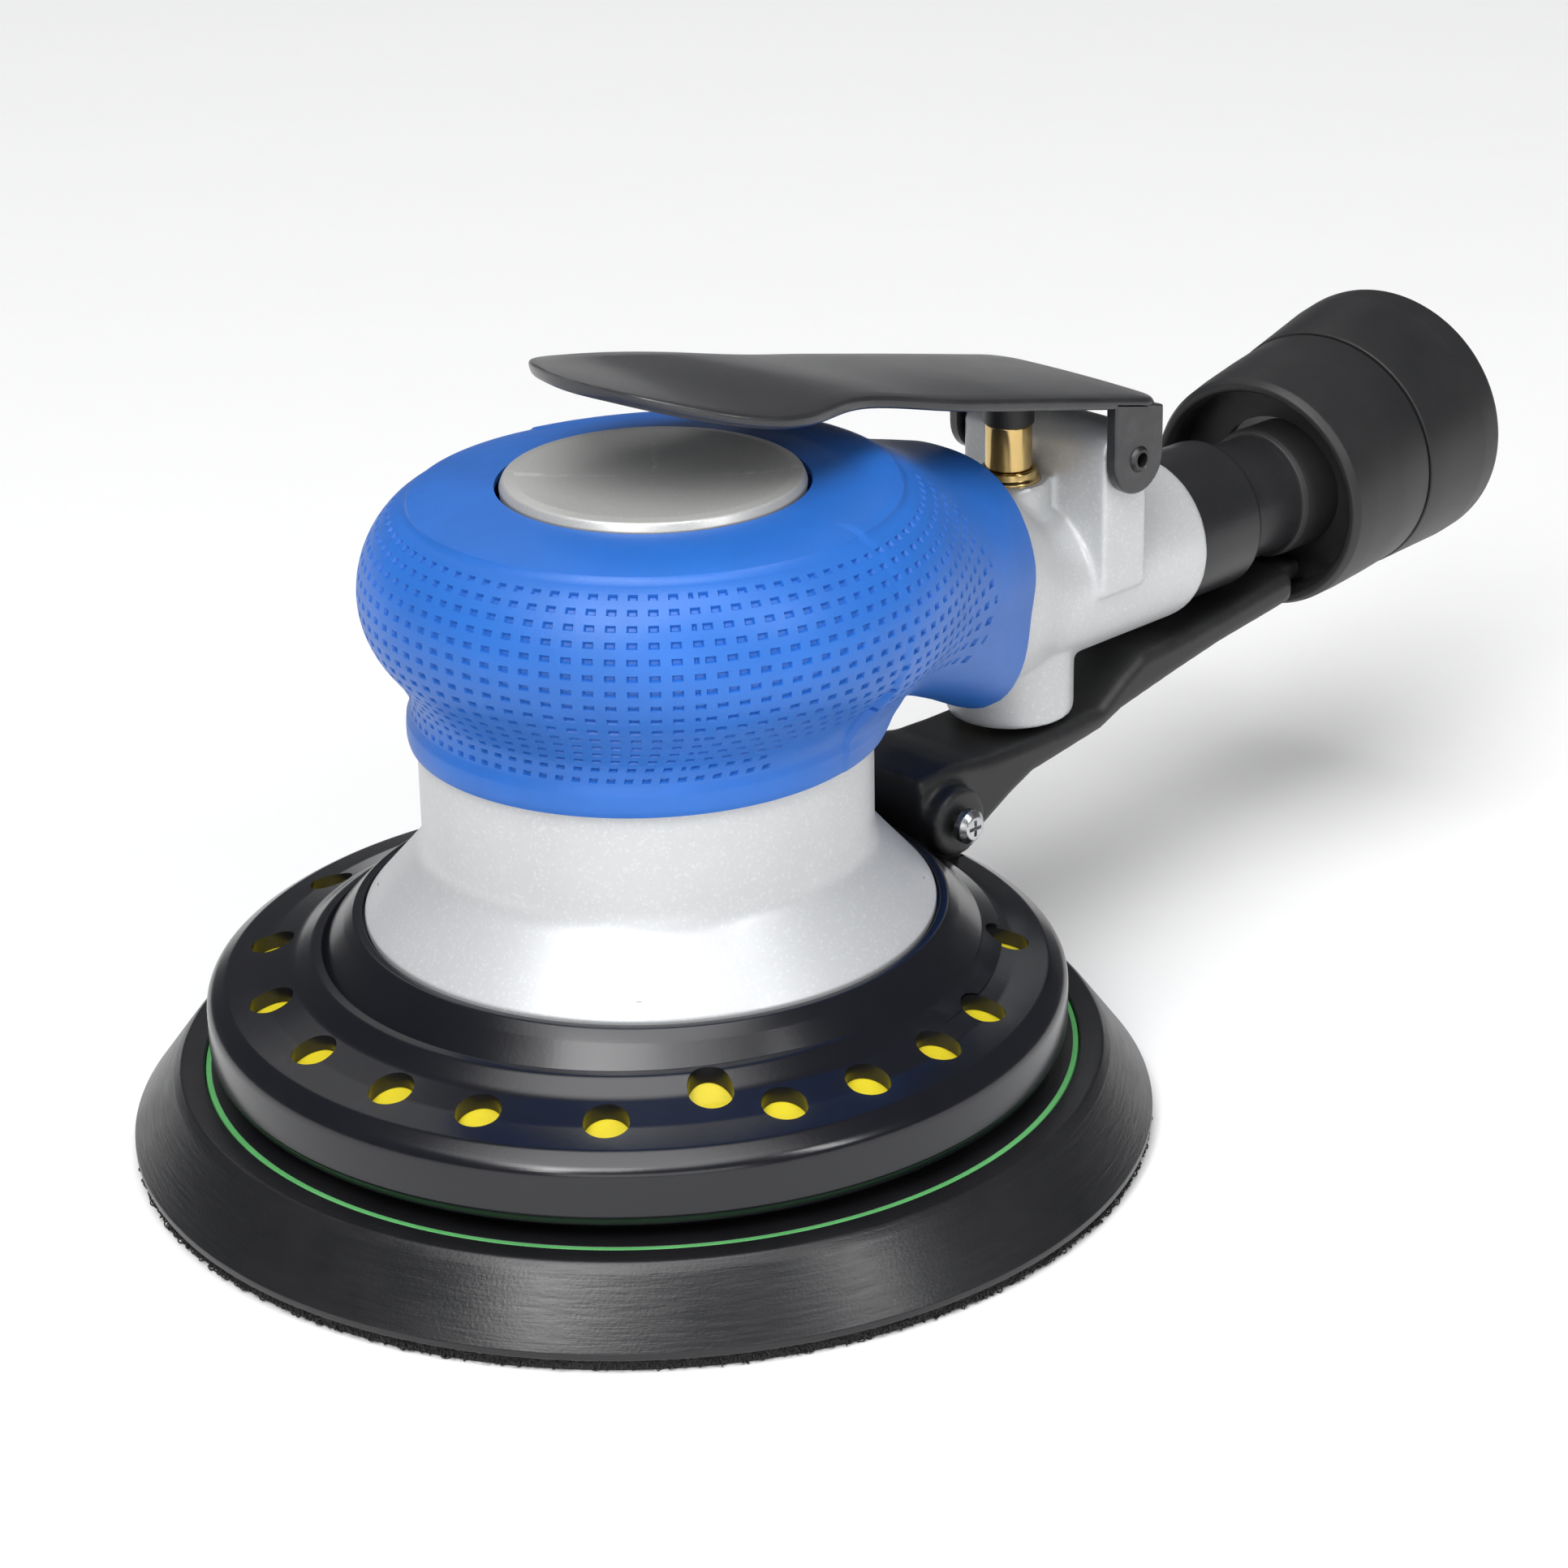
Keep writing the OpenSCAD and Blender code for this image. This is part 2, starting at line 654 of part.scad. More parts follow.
module inlet_screen() {
    color("#8f9194") rod_x([bushing_end - 17.9, 0, tube_z], screen_r, 1.5);
}

module inlet_collar() {
    color("#2b2c2e") difference() {
        rod_x([socket_x, 0, tube_z], bushing_r + 1, 9);
        rod_x([socket_x - 1, 0, tube_z], bushing_r + seat, 20);
    }
}

// ---- Shroud and dust path ----

// Cross-section of the shroud's domed ring: outer line, then inner line back
module shroud_section() {
    polygon([[shroud_r - 2.3, 14], [shroud_r - 0.4, 15.6], [shroud_r, 16.6], [shroud_r, 22.3],
        [shroud_r - 0.5, 23.7], [shroud_r - 1.4, 24.5], [shroud_r - 2.8, 24.9], [55, 26.2],
        [50, 27.8], [46.8, 30.2], [45.2, 30.2], [45.2, 28.4], [49, 26], [54, 24.3],
        [shroud_r - 4.2, 23.1], [shroud_r - 2.4, 21.5], [shroud_r - 2.4, 16.5], [shroud_r - 4, 14]]);
}

module at_shroud() {
    translate([-shroud_shift, 0, 0]) children();
}

module vent_cuts() {
    for (a = vent_angles)
        rotate([0, 0, a])
            translate([a == inner_vent_angle ? vent_ring_r - inner_vent_step : vent_ring_r, 0, 20])
                cylinder(r = vent_r, h = 12, $fn = 40);
}

module shroud() {
    color("#141518") difference() {
        union() {
            at_shroud() rotate_extrude() shroud_section();
            rotate_extrude()
                polygon([[36, 31], [36, flange_z - 0.4], [flange_r + 0.5, flange_z - 0.4],
                    [flange_r + 0.5, 34.2], [flange_r + 1.6, 34.2], [flange_r + 2.8, 33.3],
                    [flange_r + 4.6, 31], [flange_r + 6.5, 28.9], [flange_r + 6.5, 27.6],
                    [flange_r + 1.6, 31]]);
        }
        at_shroud() vent_cuts();
        translate([duct_x0 - 0.15, -duct_w / 2 - 0.15, 12]) cube([duct_neck + 0.3, duct_w + 0.3, 30]);
        shroud_screw_set() cylinder(r = 1.7, h = 12, center = true, $fn = 32);
    }
}

module vent_ring() {
    color("#d8c81e") at_shroud() rotate([0, 0, 96]) rotate_extrude(angle = 232)
        polygon([[46.2, 27.6], [49, 25.9], [54, 24.2], [58.4, 23.05], [58.4, 22.2], [54, 23.2],
            [49, 24.9], [46.2, 26.6]]);
}

module shroud_clamp_ring() {
    color("#77797d") difference() {
        ring(41.5, 36, 29.4, 31);
        shroud_screw_set() cylinder(r = 1.7, h = 20, center = true, $fn = 32);
    }
}

module shroud_screw_set() {
    for (a = [45 : 90 : 315])
        rotate([0, 0, a]) translate([38.6, 0, flange_z]) children();
}

module shroud_screws() {
    color("#b8babd") shroud_screw_set() union() {
        translate([0, 0, -5.9]) cylinder(r = 2.3, h = 1.8, $fn = 32);
        translate([0, 0, -4.2]) cylinder(r = 1.3 - seat, h = 7.2, $fn = 32);
    }
}

module side_extrude(half_w) {
    translate([0, half_w, 0]) rotate([90, 0, 0]) linear_extrude(height = 2 * half_w) children();
}

// A solid of revolution about the hose cuff's axis
module cuff_turned(profile) {
    at_cuff() rotate_extrude() polygon(profile);
}

module exhaust_duct() {
    color("#17181a") difference() {
        union() {
            side_extrude(duct_w / 2)
                polygon([[duct_x0, 20.5], [duct_x0 + duct_neck, 20.5], [duct_x0 + duct_neck, 27],
                    [61, 28.2], [67, 31.4], [72, 33.6], [86, 35.6], [93, 38.2], [117, 43],
                    [duct_end, 45.3], [duct_end, 50.9], [124, 48.8], [112, 47.4], [97, 46.9],
                    [89, duct_under], [64, duct_under], [57, 41.4], [duct_x0, 41.4]]);
            // The tongue lies in the front cup of the hose socket
            translate([duct_end - 1, -tongue_w / 2, 46.3])
                cube([tongue_end - duct_end + 1, tongue_w, 3.9]);
            for (y = [-duct_w / 2 - 3, duct_w / 2 - 1])
                rod_y([clamp_x, y, clamp_z], 5.6, 4);
        }
        side_extrude(duct_w / 2 - duct_wall)
            polygon([[duct_x0 + duct_wall, 20], [duct_x0 + duct_neck - duct_wall, 20],
                [duct_x0 + duct_neck - duct_wall, 29], [66, 32.6], [72, 35], [86, 36.9],
                [93, 39.5], [117, 44.4], [duct_end - 2, 46.6], [duct_end - 2, 49.3], [124, 47.5],
                [112, 45.9], [97.5, 45.2], [89, duct_under - 1.2], [63, duct_under - 1.2],
                [57, 39.4], [duct_x0 + duct_wall, 39.4]]);
        translate([duct_end - 4, -tongue_w / 2 + 1.5, 47.3]) cube([20, tongue_w - 3, 1.8]);
        rod_y([clamp_x, -20, clamp_z], 1.55, 40);
    }
}

module hose_socket() {
    color("#17181a") difference() {
        cuff_turned([[0, 0], [socket_r - 2.2, 0], [socket_r - 1.5, 0.3], [socket_r - 1, 1.2], [socket_r - 0.7, 5],
            [socket_r - 0.4, 14], [socket_r, socket_len], [spigot_r, socket_len],
            [spigot_r, socket_len + spigot_len], [0, socket_len + spigot_len]]);
        at_cuff() translate([0, 0, -1]) cylinder(r = cup_in_r, h = 1 + cup_depth);
        at_cuff() translate([0, 0, cup_depth + 2.5]) cylinder(r = hose_r - 1, h = 50);
        rod_x([socket_x - 5, 0, tube_z], bushing_r + 1.2, 25);
        translate([socket_x, -duct_w / 2 + duct_wall, 47.4]) cube([20, duct_w - 2 * duct_wall, 2.5]);
    }
}

module duct_screw() {
    color("#c9cbce") union() {
        rod_y([clamp_x, -duct_w / 2 - 3.1, clamp_z], 1.5, duct_w + 8.3);
        rod_y([clamp_x, -duct_w / 2 - 5, clamp_z], 2.7, 1.95);
    }
}

module duct_nut() {
    color("#b8babd") difference() {
        translate([clamp_x, duct_w / 2 + 3.05, clamp_z]) rotate([-90, 0, 0])
            cylinder(r = 3, h = 2, $fn = 6);
        rod_y([clamp_x, 0, clamp_z], 1.5 + eps, 40);
    }
}

module hose_cuff() {
    color("#1b1c1e") at_cuff() rotate_extrude()
        polygon([[spigot_r + 0.08, socket_len + gap], [socket_r + 0.2, socket_len + gap],
            [cuff_r - 1, socket_len + 9], [cuff_r, socket_len + cuff_len - 1.5],
            [cuff_r - 0.4, socket_len + cuff_len - 0.4], [cuff_r - 1.3, socket_len + cuff_len],
            [hose_r, socket_len + cuff_len], [hose_r, socket_len + spigot_len + gap],
            [spigot_r + 0.08, socket_len + spigot_len + gap]]);
}

motor_housing();
palm_grip();
top_cap();
throttle_lever();
lever_pin();
valve_stem();
stem_cap();
valve_bushing();
stem_seal();
valve_seat();
valve_spring();
valve_plug();
speed_dial();
dial_seal();
inlet_bushing();
inlet_sleeve();
inlet_screen();
inlet_collar();
cylinder_liner();
rotor();
rotor_vanes();
rotor_key();
upper_end_plate();
lower_end_plate();
upper_bearing();
lower_bearing();
lock_ring();
balancer_shaft();
spindle_bearing();
bearing_retainer();
drive_spindle();
pad_hub();
pad_plate();
pad_foam();
pad_screws();
hook_face();
shroud();
vent_ring();
shroud_clamp_ring();
shroud_screws();
exhaust_duct();
hose_socket();
duct_screw();
duct_nut();
hose_cuff();
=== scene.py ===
import json
import math
import random

import bpy
from bpy.props import FloatProperty, FloatVectorProperty, IntProperty, PointerProperty
from mathutils import Matrix, Vector


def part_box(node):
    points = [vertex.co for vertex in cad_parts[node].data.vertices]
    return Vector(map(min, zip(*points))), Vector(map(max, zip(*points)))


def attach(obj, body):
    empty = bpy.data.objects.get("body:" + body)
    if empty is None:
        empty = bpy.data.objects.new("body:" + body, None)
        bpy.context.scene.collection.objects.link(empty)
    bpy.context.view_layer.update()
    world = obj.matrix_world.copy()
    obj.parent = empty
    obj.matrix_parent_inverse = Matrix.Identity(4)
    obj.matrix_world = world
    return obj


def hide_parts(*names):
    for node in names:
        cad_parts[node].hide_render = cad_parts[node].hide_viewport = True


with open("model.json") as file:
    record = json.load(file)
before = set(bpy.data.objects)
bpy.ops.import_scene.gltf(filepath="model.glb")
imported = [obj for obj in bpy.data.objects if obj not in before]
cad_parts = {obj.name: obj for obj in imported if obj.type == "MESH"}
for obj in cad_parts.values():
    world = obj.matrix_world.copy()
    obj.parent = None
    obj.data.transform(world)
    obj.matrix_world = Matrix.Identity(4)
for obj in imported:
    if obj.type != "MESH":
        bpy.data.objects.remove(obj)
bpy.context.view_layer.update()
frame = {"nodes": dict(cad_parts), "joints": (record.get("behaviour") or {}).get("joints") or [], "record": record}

bl_info = {
    "name": "Palm Sander Builder",
    "version": (1, 0, 0),
    "blender": (4, 5, 0),
    "location": "View3D > Sidebar > Sander",
    "description": "Builds the visible pieces of an air-driven palm sander round its packed frame",
    "category": "Object",
}

MM = 0.001
NODES = frame["nodes"]


# ---- Places that the frame gives ----

def low(node, axis):
    """The node's lowest coordinate along an axis, in millimetres."""
    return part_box(node)[0][axis] / MM


def high(node, axis):
    """The node's highest coordinate along an axis, in millimetres."""
    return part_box(node)[1][axis] / MM


def middle(node, axis):
    """The middle of the node along an axis, in millimetres."""
    return (low(node, axis) + high(node, axis)) / 2


def joint(name):
    """The frame's joint of that name."""
    return next(j for j in frame["joints"] if j["name"] == name)


def mount(name):
    """The record's mount of that name."""
    return next(m for m in frame["record"]["mounts"] if m["name"] == name)


# Places and sizes in millimetres: the row frame's origin is under the motor, with the handle along +X
PAD_X = middle("pad_foam", 0)
PAD_R = (high("pad_foam", 0) - low("pad_foam", 0)) / 2
HOOK_TOP = high("hook_face", 2)
FOAM_TOP = high("pad_foam", 2)
SHROUD_X = middle("shroud", 0)
SHROUD_R = (high("shroud", 0) - low("shroud", 0)) / 2
FLANGE_R = -low("motor_housing", 0)
FLANGE_Z = low("motor_housing", 2)
BARREL_R = 32.7
GRIP_Z = FLANGE_Z + 28
TUBE_Z = mount("air_inlet")["pos_m"][2] / MM
TUBE_END = high("motor_housing", 0)
STEM_X = middle("valve_stem", 0)
STEM_R = 3.6
BOSS_TOP = 79.2
PIN_X = joint("lever_pivot")["pos_m"][0] / MM
PIN_Z = joint("lever_pivot")["pos_m"][2] / MM
BULB_SHIFT = middle("top_cap", 0)
LEVER_HALF_W = 17.3
LEVER_THICK = 2.0
DUCT_CLAMP = (52, 0, 33)
CUFF_AXIS = Vector(joint("cuff_swivel")["axis"]).normalized()
HOSE_PORT_ALONG = 38.65
CUFF_START = Vector(mount("hose_port")["pos_m"]) / MM - HOSE_PORT_ALONG * CUFF_AXIS


# ---- Making and shaping ----

def deselect():
    """Leaves edit mode and selects nothing."""
    if bpy.context.object and bpy.context.object.mode != "OBJECT":
        bpy.ops.object.mode_set(mode="OBJECT")
    bpy.ops.object.select_all(action="DESELECT")


def activate(*pieces):
    """Selects the pieces and makes the first one active."""
    deselect()
    for piece in pieces:
        piece.select_set(True)
    bpy.context.view_layer.objects.active = pieces[0]


def named(name):
    """Names the object that was just made."""
    piece = bpy.context.object
    piece.name = name
    piece.data.name = name
    return piece


def settle(piece):
    """Puts the object at the origin with its place in its mesh."""
    activate(piece)
    bpy.ops.object.transform_apply(location=True, rotation=True, scale=True)
    return piece


def use(piece, kind, **values):
    """Adds a modifier with the given values and applies it."""
    activate(piece)
    modifier = piece.modifiers.new(kind.lower(), kind)
    for key, value in values.items():
        setattr(modifier, key, value)
    bpy.ops.object.modifier_apply(modifier=modifier.name)
    return piece


def smooth(piece, degrees=35):
    """Shades the piece smooth except over edges sharper than the angle."""
    activate(piece)
    bpy.ops.object.shade_smooth_by_angle(angle=math.radians(degrees))
    return piece


def edit_all(piece):
    """Enters edit mode on the piece with everything selected."""
    activate(piece)
    bpy.ops.object.mode_set(mode="EDIT")
    bpy.ops.mesh.select_all(action="SELECT")


def outward(piece):
    """Turns the piece's faces outward."""
    edit_all(piece)
    bpy.ops.mesh.normals_make_consistent(inside=False)
    bpy.ops.object.mode_set(mode="OBJECT")
    return piece


def weld(piece):
    """Closes the seam that a spin leaves."""
    edit_all(piece)
    bpy.ops.mesh.remove_doubles(threshold=0.01 * MM)
    bpy.ops.mesh.delete_loose()
    bpy.ops.mesh.normals_make_consistent(inside=False)
    bpy.ops.object.mode_set(mode="OBJECT")
    return piece


def rounded(points, steps=4):
    """Rounds each corner that states a radius: points are (r, z) or (r, z, radius)."""
    outline = []
    count = len(points)
    for i, point in enumerate(points):
        corner = Vector(point[:2])
        radius = point[2] if len(point) > 2 else 0
        if radius == 0:
            outline.append(corner)
            continue
        before = Vector(points[i - 1][:2]) - corner
        after = Vector(points[(i + 1) % count][:2]) - corner
        half = before.angle(after) / 2
        reach = min(radius / math.tan(half), before.length * 0.49, after.length * 0.49)
        start = corner + before.normalized() * reach
        end = corner + after.normalized() * reach
        for k in range(steps + 1):
            t = k / steps
            outline.append(start.lerp(corner, t).lerp(corner.lerp(end, t), t))
    return outline


def turned(name, points, steps=128, corner_steps=4, centre=(0, 0, 0), axis=None):
    """A solid turned about an axis from a closed outline of (radius, height), in millimetres."""
    outline = rounded(points, corner_steps)
    deselect()
    bpy.ops.mesh.primitive_circle_add(vertices=len(outline), radius=0.01)
    piece = named(name)
    for vertex, point in zip(piece.data.vertices, outline):
        vertex.co = (point.x * MM, 0, point.y * MM)
    edit_all(piece)
    bpy.ops.mesh.spin(steps=steps, angle=math.tau, center=(0, 0, 0), axis=(0, 0, 1))
    bpy.ops.object.mode_set(mode="OBJECT")
    weld(piece)
    if axis is not None:
        piece.data.transform(Vector(axis).to_track_quat("Z", "X").to_matrix().to_4x4())
    piece.data.transform(Matrix.Translation(Vector(centre) * MM))
    return smooth(piece)


def lofted(name, sections):
    """A closed solid through rings of points, in millimetres. All the rings have as many points."""
    around, along = len(sections[0]), len(sections) - 1
    deselect()
    bpy.ops.mesh.primitive_grid_add(x_subdivisions=around, y_subdivisions=along, size=1)
    piece = named(name)
    for vertex in piece.data.vertices:
        column = round((vertex.co.x + 0.5) * around) % around
        vertex.co = Vector(sections[round((vertex.co.y + 0.5) * along)][column]) * MM
    edit_all(piece)
    bpy.ops.mesh.remove_doubles(threshold=0.000001)
    bpy.ops.mesh.fill_holes(sides=0)
    bpy.ops.mesh.normals_make_consistent(inside=False)
    bpy.ops.object.mode_set(mode="OBJECT")
    return smooth(piece)


def block(name, centre, size, bevel=0.0):
    """A box with rounded edges, in millimetres."""
    deselect()
    bpy.ops.mesh.primitive_cube_add(size=1, location=Vector(centre) * MM, scale=Vector(size) * MM)
    piece = settle(named(name))
    if bevel:
        use(piece, "BEVEL", width=bevel * MM, segments=3)
    return smooth(piece)


def rod(name, start, end, radius, bevel=0.0, sides=64):
    """A round bar between two points, in millimetres."""
    start, end = Vector(start) * MM, Vector(end) * MM
    deselect()
    bpy.ops.mesh.primitive_cylinder_add(vertices=sides, radius=radius * MM,
        depth=(end - start).length, location=(0, 0, 0))
    piece = named(name)
    piece.data.transform((end - start).to_track_quat("Z", "X").to_matrix().to_4x4())
    piece.data.transform(Matrix.Translation((start + end) / 2))
    if bevel:
        use(piece, "BEVEL", width=bevel * MM, segments=3, angle_limit=math.radians(40))
    return smooth(piece)


def cut(piece, *cutters):
    """Takes the cutters out of the piece and removes them."""
    for cutter in cutters:
        use(piece, "BOOLEAN", operation="DIFFERENCE", solver="EXACT", object=cutter)
        bpy.data.objects.remove(cutter)
    return piece


def joined(name, *pieces):
    """Makes one object of the pieces."""
    activate(*pieces)
    bpy.ops.object.join()
    return named(name)


def cast(piece, voxel, rounds):
    """Melts the overlapping solids of a piece into one casting with soft fillets."""
    use(piece, "REMESH", mode="VOXEL", voxel_size=voxel * MM, use_smooth_shade=True)
    use(piece, "SMOOTH", factor=0.5, iterations=rounds)
    return piece


def place(piece, body, slot, material, *nodes):
    settle(piece)
    piece.data.materials.clear()
    piece.data.materials.append(material)
    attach(piece, body)
    if nodes:
        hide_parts(*nodes)
    return piece


# ---- Shared shader effects ----

def link(tree, source, target):
    """Joins an output socket to an input socket."""
    tree.links.new(source, target)


def node_of(tree, kind, **values):
    """A new shader node with the given settings."""
    made = tree.nodes.new(kind)
    for key, value in values.items():
        setattr(made, key, value)
    return made


def effect(name, inputs, outputs):
    """A shader node group with named number inputs and outputs."""
    group = bpy.data.node_groups.new(name, "ShaderNodeTree")
    for label, kind, value in inputs:
        socket = group.interface.new_socket(name=label, in_out="INPUT", socket_type=kind)
        socket.default_value = value
    for label, kind in outputs:
        group.interface.new_socket(name=label, in_out="OUTPUT", socket_type=kind)
    return group, node_of(group, "NodeGroupInput"), node_of(group, "NodeGroupOutput")


def maths(tree, operation, first, second=None, third=None, clamp=False):
    """The result of a sum on numbers or sockets."""
    made = node_of(tree, "ShaderNodeMath", operation=operation, use_clamp=clamp)
    for socket, value in zip(made.inputs, (first, second, third)):
        if value is None:
            continue
        if isinstance(value, (int, float)):
            socket.default_value = value
        else:
            link(tree, value, socket)
    return made.outputs[0]


def ramp(tree, value, low_edge, high_edge):
    """Zero below one edge and one above the other."""
    made = node_of(tree, "ShaderNodeMapRange", clamp=True)
    link(tree, value, made.inputs["Value"])
    made.inputs["From Min"].default_value = low_edge
    made.inputs["From Max"].default_value = high_edge
    return made.outputs["Result"]


def blended(tree, factor, first, second):
    """A colour between two by a socket's factor: each is a colour or a socket."""
    made = node_of(tree, "ShaderNodeMix", data_type="RGBA")
    link(tree, factor, made.inputs[0])
    for socket, value in ((made.inputs[6], first), (made.inputs[7], second)):
        if hasattr(value, "is_linked"):
            link(tree, value, socket)
        else:
            socket.default_value = (*value, 1)
    return made.outputs[2]


def noise(tree, vector, scale, detail, roughness):
    """The value of a noise texture."""
    made = node_of(tree, "ShaderNodeTexNoise")
    made.inputs["Scale"].default_value = scale
    made.inputs["Detail"].default_value = detail
    made.inputs["Roughness"].default_value = roughness
    link(tree, vector, made.inputs["Vector"])
    return made.outputs["Fac"]


def grain_effect():
    """Fine moulded or painted grain, with slow mottling beside it."""
    group, given, out = effect("surface_grain",
        [("Vector", "NodeSocketVector", (0, 0, 0)), ("Scale", "NodeSocketFloat", 900.0)],
        [("Height", "NodeSocketFloat"), ("Mottle", "NodeSocketFloat"), ("Fleck", "NodeSocketFloat")])
    fine = node_of(group, "ShaderNodeTexNoise")
    fine.inputs["Detail"].default_value = 4
    link(group, given.outputs["Vector"], fine.inputs["Vector"])
    link(group, given.outputs["Scale"], fine.inputs["Scale"])
    flake = node_of(group, "ShaderNodeTexVoronoi")
    link(group, given.outputs["Vector"], flake.inputs["Vector"])
    link(group, maths(group, "MULTIPLY", given.outputs["Scale"], 1.7), flake.inputs["Scale"])
    slow = noise(group, given.outputs["Vector"], 45, 5, 0.6)
    link(group, fine.outputs["Fac"], out.inputs["Height"])
    link(group, slow, out.inputs["Mottle"])
    separate = node_of(group, "ShaderNodeSeparateColor")
    link(group, flake.outputs["Color"], separate.inputs[0])
    link(group, separate.outputs[0], out.inputs["Fleck"])
    return group


def wear_effect():
    """A mask of the edges that hands and benches rub."""
    group, given, out = effect("edge_wear",
        [("Vector", "NodeSocketVector", (0, 0, 0)), ("Reach", "NodeSocketFloat", 0.06)],
        [("Mask", "NodeSocketFloat")])
    geometry = node_of(group, "ShaderNodeNewGeometry")
    edge = maths(group, "SUBTRACT", geometry.outputs["Pointiness"], 0.5)
    edge = maths(group, "DIVIDE", edge, given.outputs["Reach"], clamp=True)
    broken = ramp(group, noise(group, given.outputs["Vector"], 260, 5, 0.7), 0.42, 0.62)
    link(group, maths(group, "MULTIPLY", edge, broken, clamp=True), out.inputs["Mask"])
    return group


def turning_effect():
    """Fine rings round the vertical axis, as on a turned or moulded round face."""
    group, given, out = effect("turned_grain",
        [("Vector", "NodeSocketVector", (0, 0, 0)), ("Rings", "NodeSocketFloat", 900.0)],
        [("Height", "NodeSocketFloat")])
    parts = node_of(group, "ShaderNodeSeparateXYZ")
    link(group, given.outputs["Vector"], parts.inputs[0])
    square = maths(group, "MULTIPLY", parts.outputs[0], parts.outputs[0])
    square = maths(group, "MULTIPLY_ADD", parts.outputs[1], parts.outputs[1], square)
    radius = maths(group, "SQRT", square)
    turn = maths(group, "ARCTAN2", parts.outputs[1], parts.outputs[0])
    place_on = node_of(group, "ShaderNodeCombineXYZ")
    link(group, maths(group, "MULTIPLY", radius, given.outputs["Rings"]), place_on.inputs[0])
    link(group, maths(group, "MULTIPLY", turn, 9.0), place_on.inputs[1])
    link(group, maths(group, "MULTIPLY", parts.outputs[2], given.outputs["Rings"]),
        place_on.inputs[2])
    link(group, noise(group, place_on.outputs[0], 1.0, 3, 0.6), out.inputs["Height"])
    return group


GRAIN = grain_effect()
WEAR = wear_effect()
TURNING = turning_effect()


# ---- Finishes ----

def place_effect(tree, group, vector, **values):
    """The outputs of a shared effect placed in a material."""
    made = node_of(tree, "ShaderNodeGroup", node_tree=group)
    link(tree, vector, made.inputs["Vector"])
    for key, value in values.items():
        made.inputs[key].default_value = value
    return made.outputs


def finish(name, colour, shade, roughness, spread=0.08, metallic=0.0, grain=900.0, bump=0.05,
        fleck=0.0, wear=0.0, worn=(0.3, 0.3, 0.3), coat=0.0, rings=0.0, ring_bump=0.0, centre=0.0,
        depth=0.05):
    """A finish with mottled colour, uneven gloss, grain, flecks, turned rings and worn edges."""
    material = bpy.data.materials.new(name)
    material.use_nodes = True
    tree = material.node_tree
    shader = tree.nodes["Principled BSDF"]
    shader.inputs["Metallic"].default_value = metallic
    shader.inputs["Coat Weight"].default_value = coat
    shader.inputs["Coat Roughness"].default_value = 0.12
    mapping = node_of(tree, "ShaderNodeMapping")
    mapping.inputs["Location"].default_value = (-centre * MM, 0, 0)
    link(tree, node_of(tree, "ShaderNodeTexCoord").outputs["Object"], mapping.inputs["Vector"])
    vector = mapping.outputs[0]
    skin = place_effect(tree, GRAIN, vector, Scale=grain)
    tint = blended(tree, ramp(tree, skin["Mottle"], 0.3, 0.7), colour, shade)
    gloss = maths(tree, "MULTIPLY_ADD", skin["Mottle"], 2 * spread, roughness - spread)
    if fleck:
        sparkle = ramp(tree, skin["Fleck"], 0.8, 1.0)
        bright = tuple(min(1.0, c + fleck) for c in colour)
        tint = blended(tree, maths(tree, "MULTIPLY", sparkle, 0.8), tint, bright)
        dark = tuple(c * (1 - fleck) for c in colour)
        tint = blended(tree, maths(tree, "MULTIPLY", ramp(tree, skin["Fleck"], 0.2, 0.0), 0.7),
            tint, dark)
    if wear:
        edge = place_effect(tree, WEAR, vector, Reach=0.05)["Mask"]
        tint = blended(tree, maths(tree, "MULTIPLY", edge, wear), tint, worn)
        gloss = maths(tree, "MULTIPLY_ADD", edge, -0.15 * wear, gloss)
    height = maths(tree, "MULTIPLY", skin["Height"], bump)
    if rings:
        ring = place_effect(tree, TURNING, vector, Rings=rings)["Height"]
        height = maths(tree, "MULTIPLY_ADD", ring, ring_bump, height)
        gloss = maths(tree, "MULTIPLY_ADD", ring, 0.16, maths(tree, "SUBTRACT", gloss, 0.08))
    relief = node_of(tree, "ShaderNodeBump")
    relief.inputs["Strength"].default_value = 1.0
    relief.inputs["Distance"].default_value = depth * MM
    link(tree, height, relief.inputs["Height"])
    link(tree, tint, shader.inputs["Base Color"])
    link(tree, maths(tree, "MULTIPLY", gloss, 1.0, clamp=True), shader.inputs["Roughness"])
    link(tree, relief.outputs["Normal"], shader.inputs["Normal"])
    return material


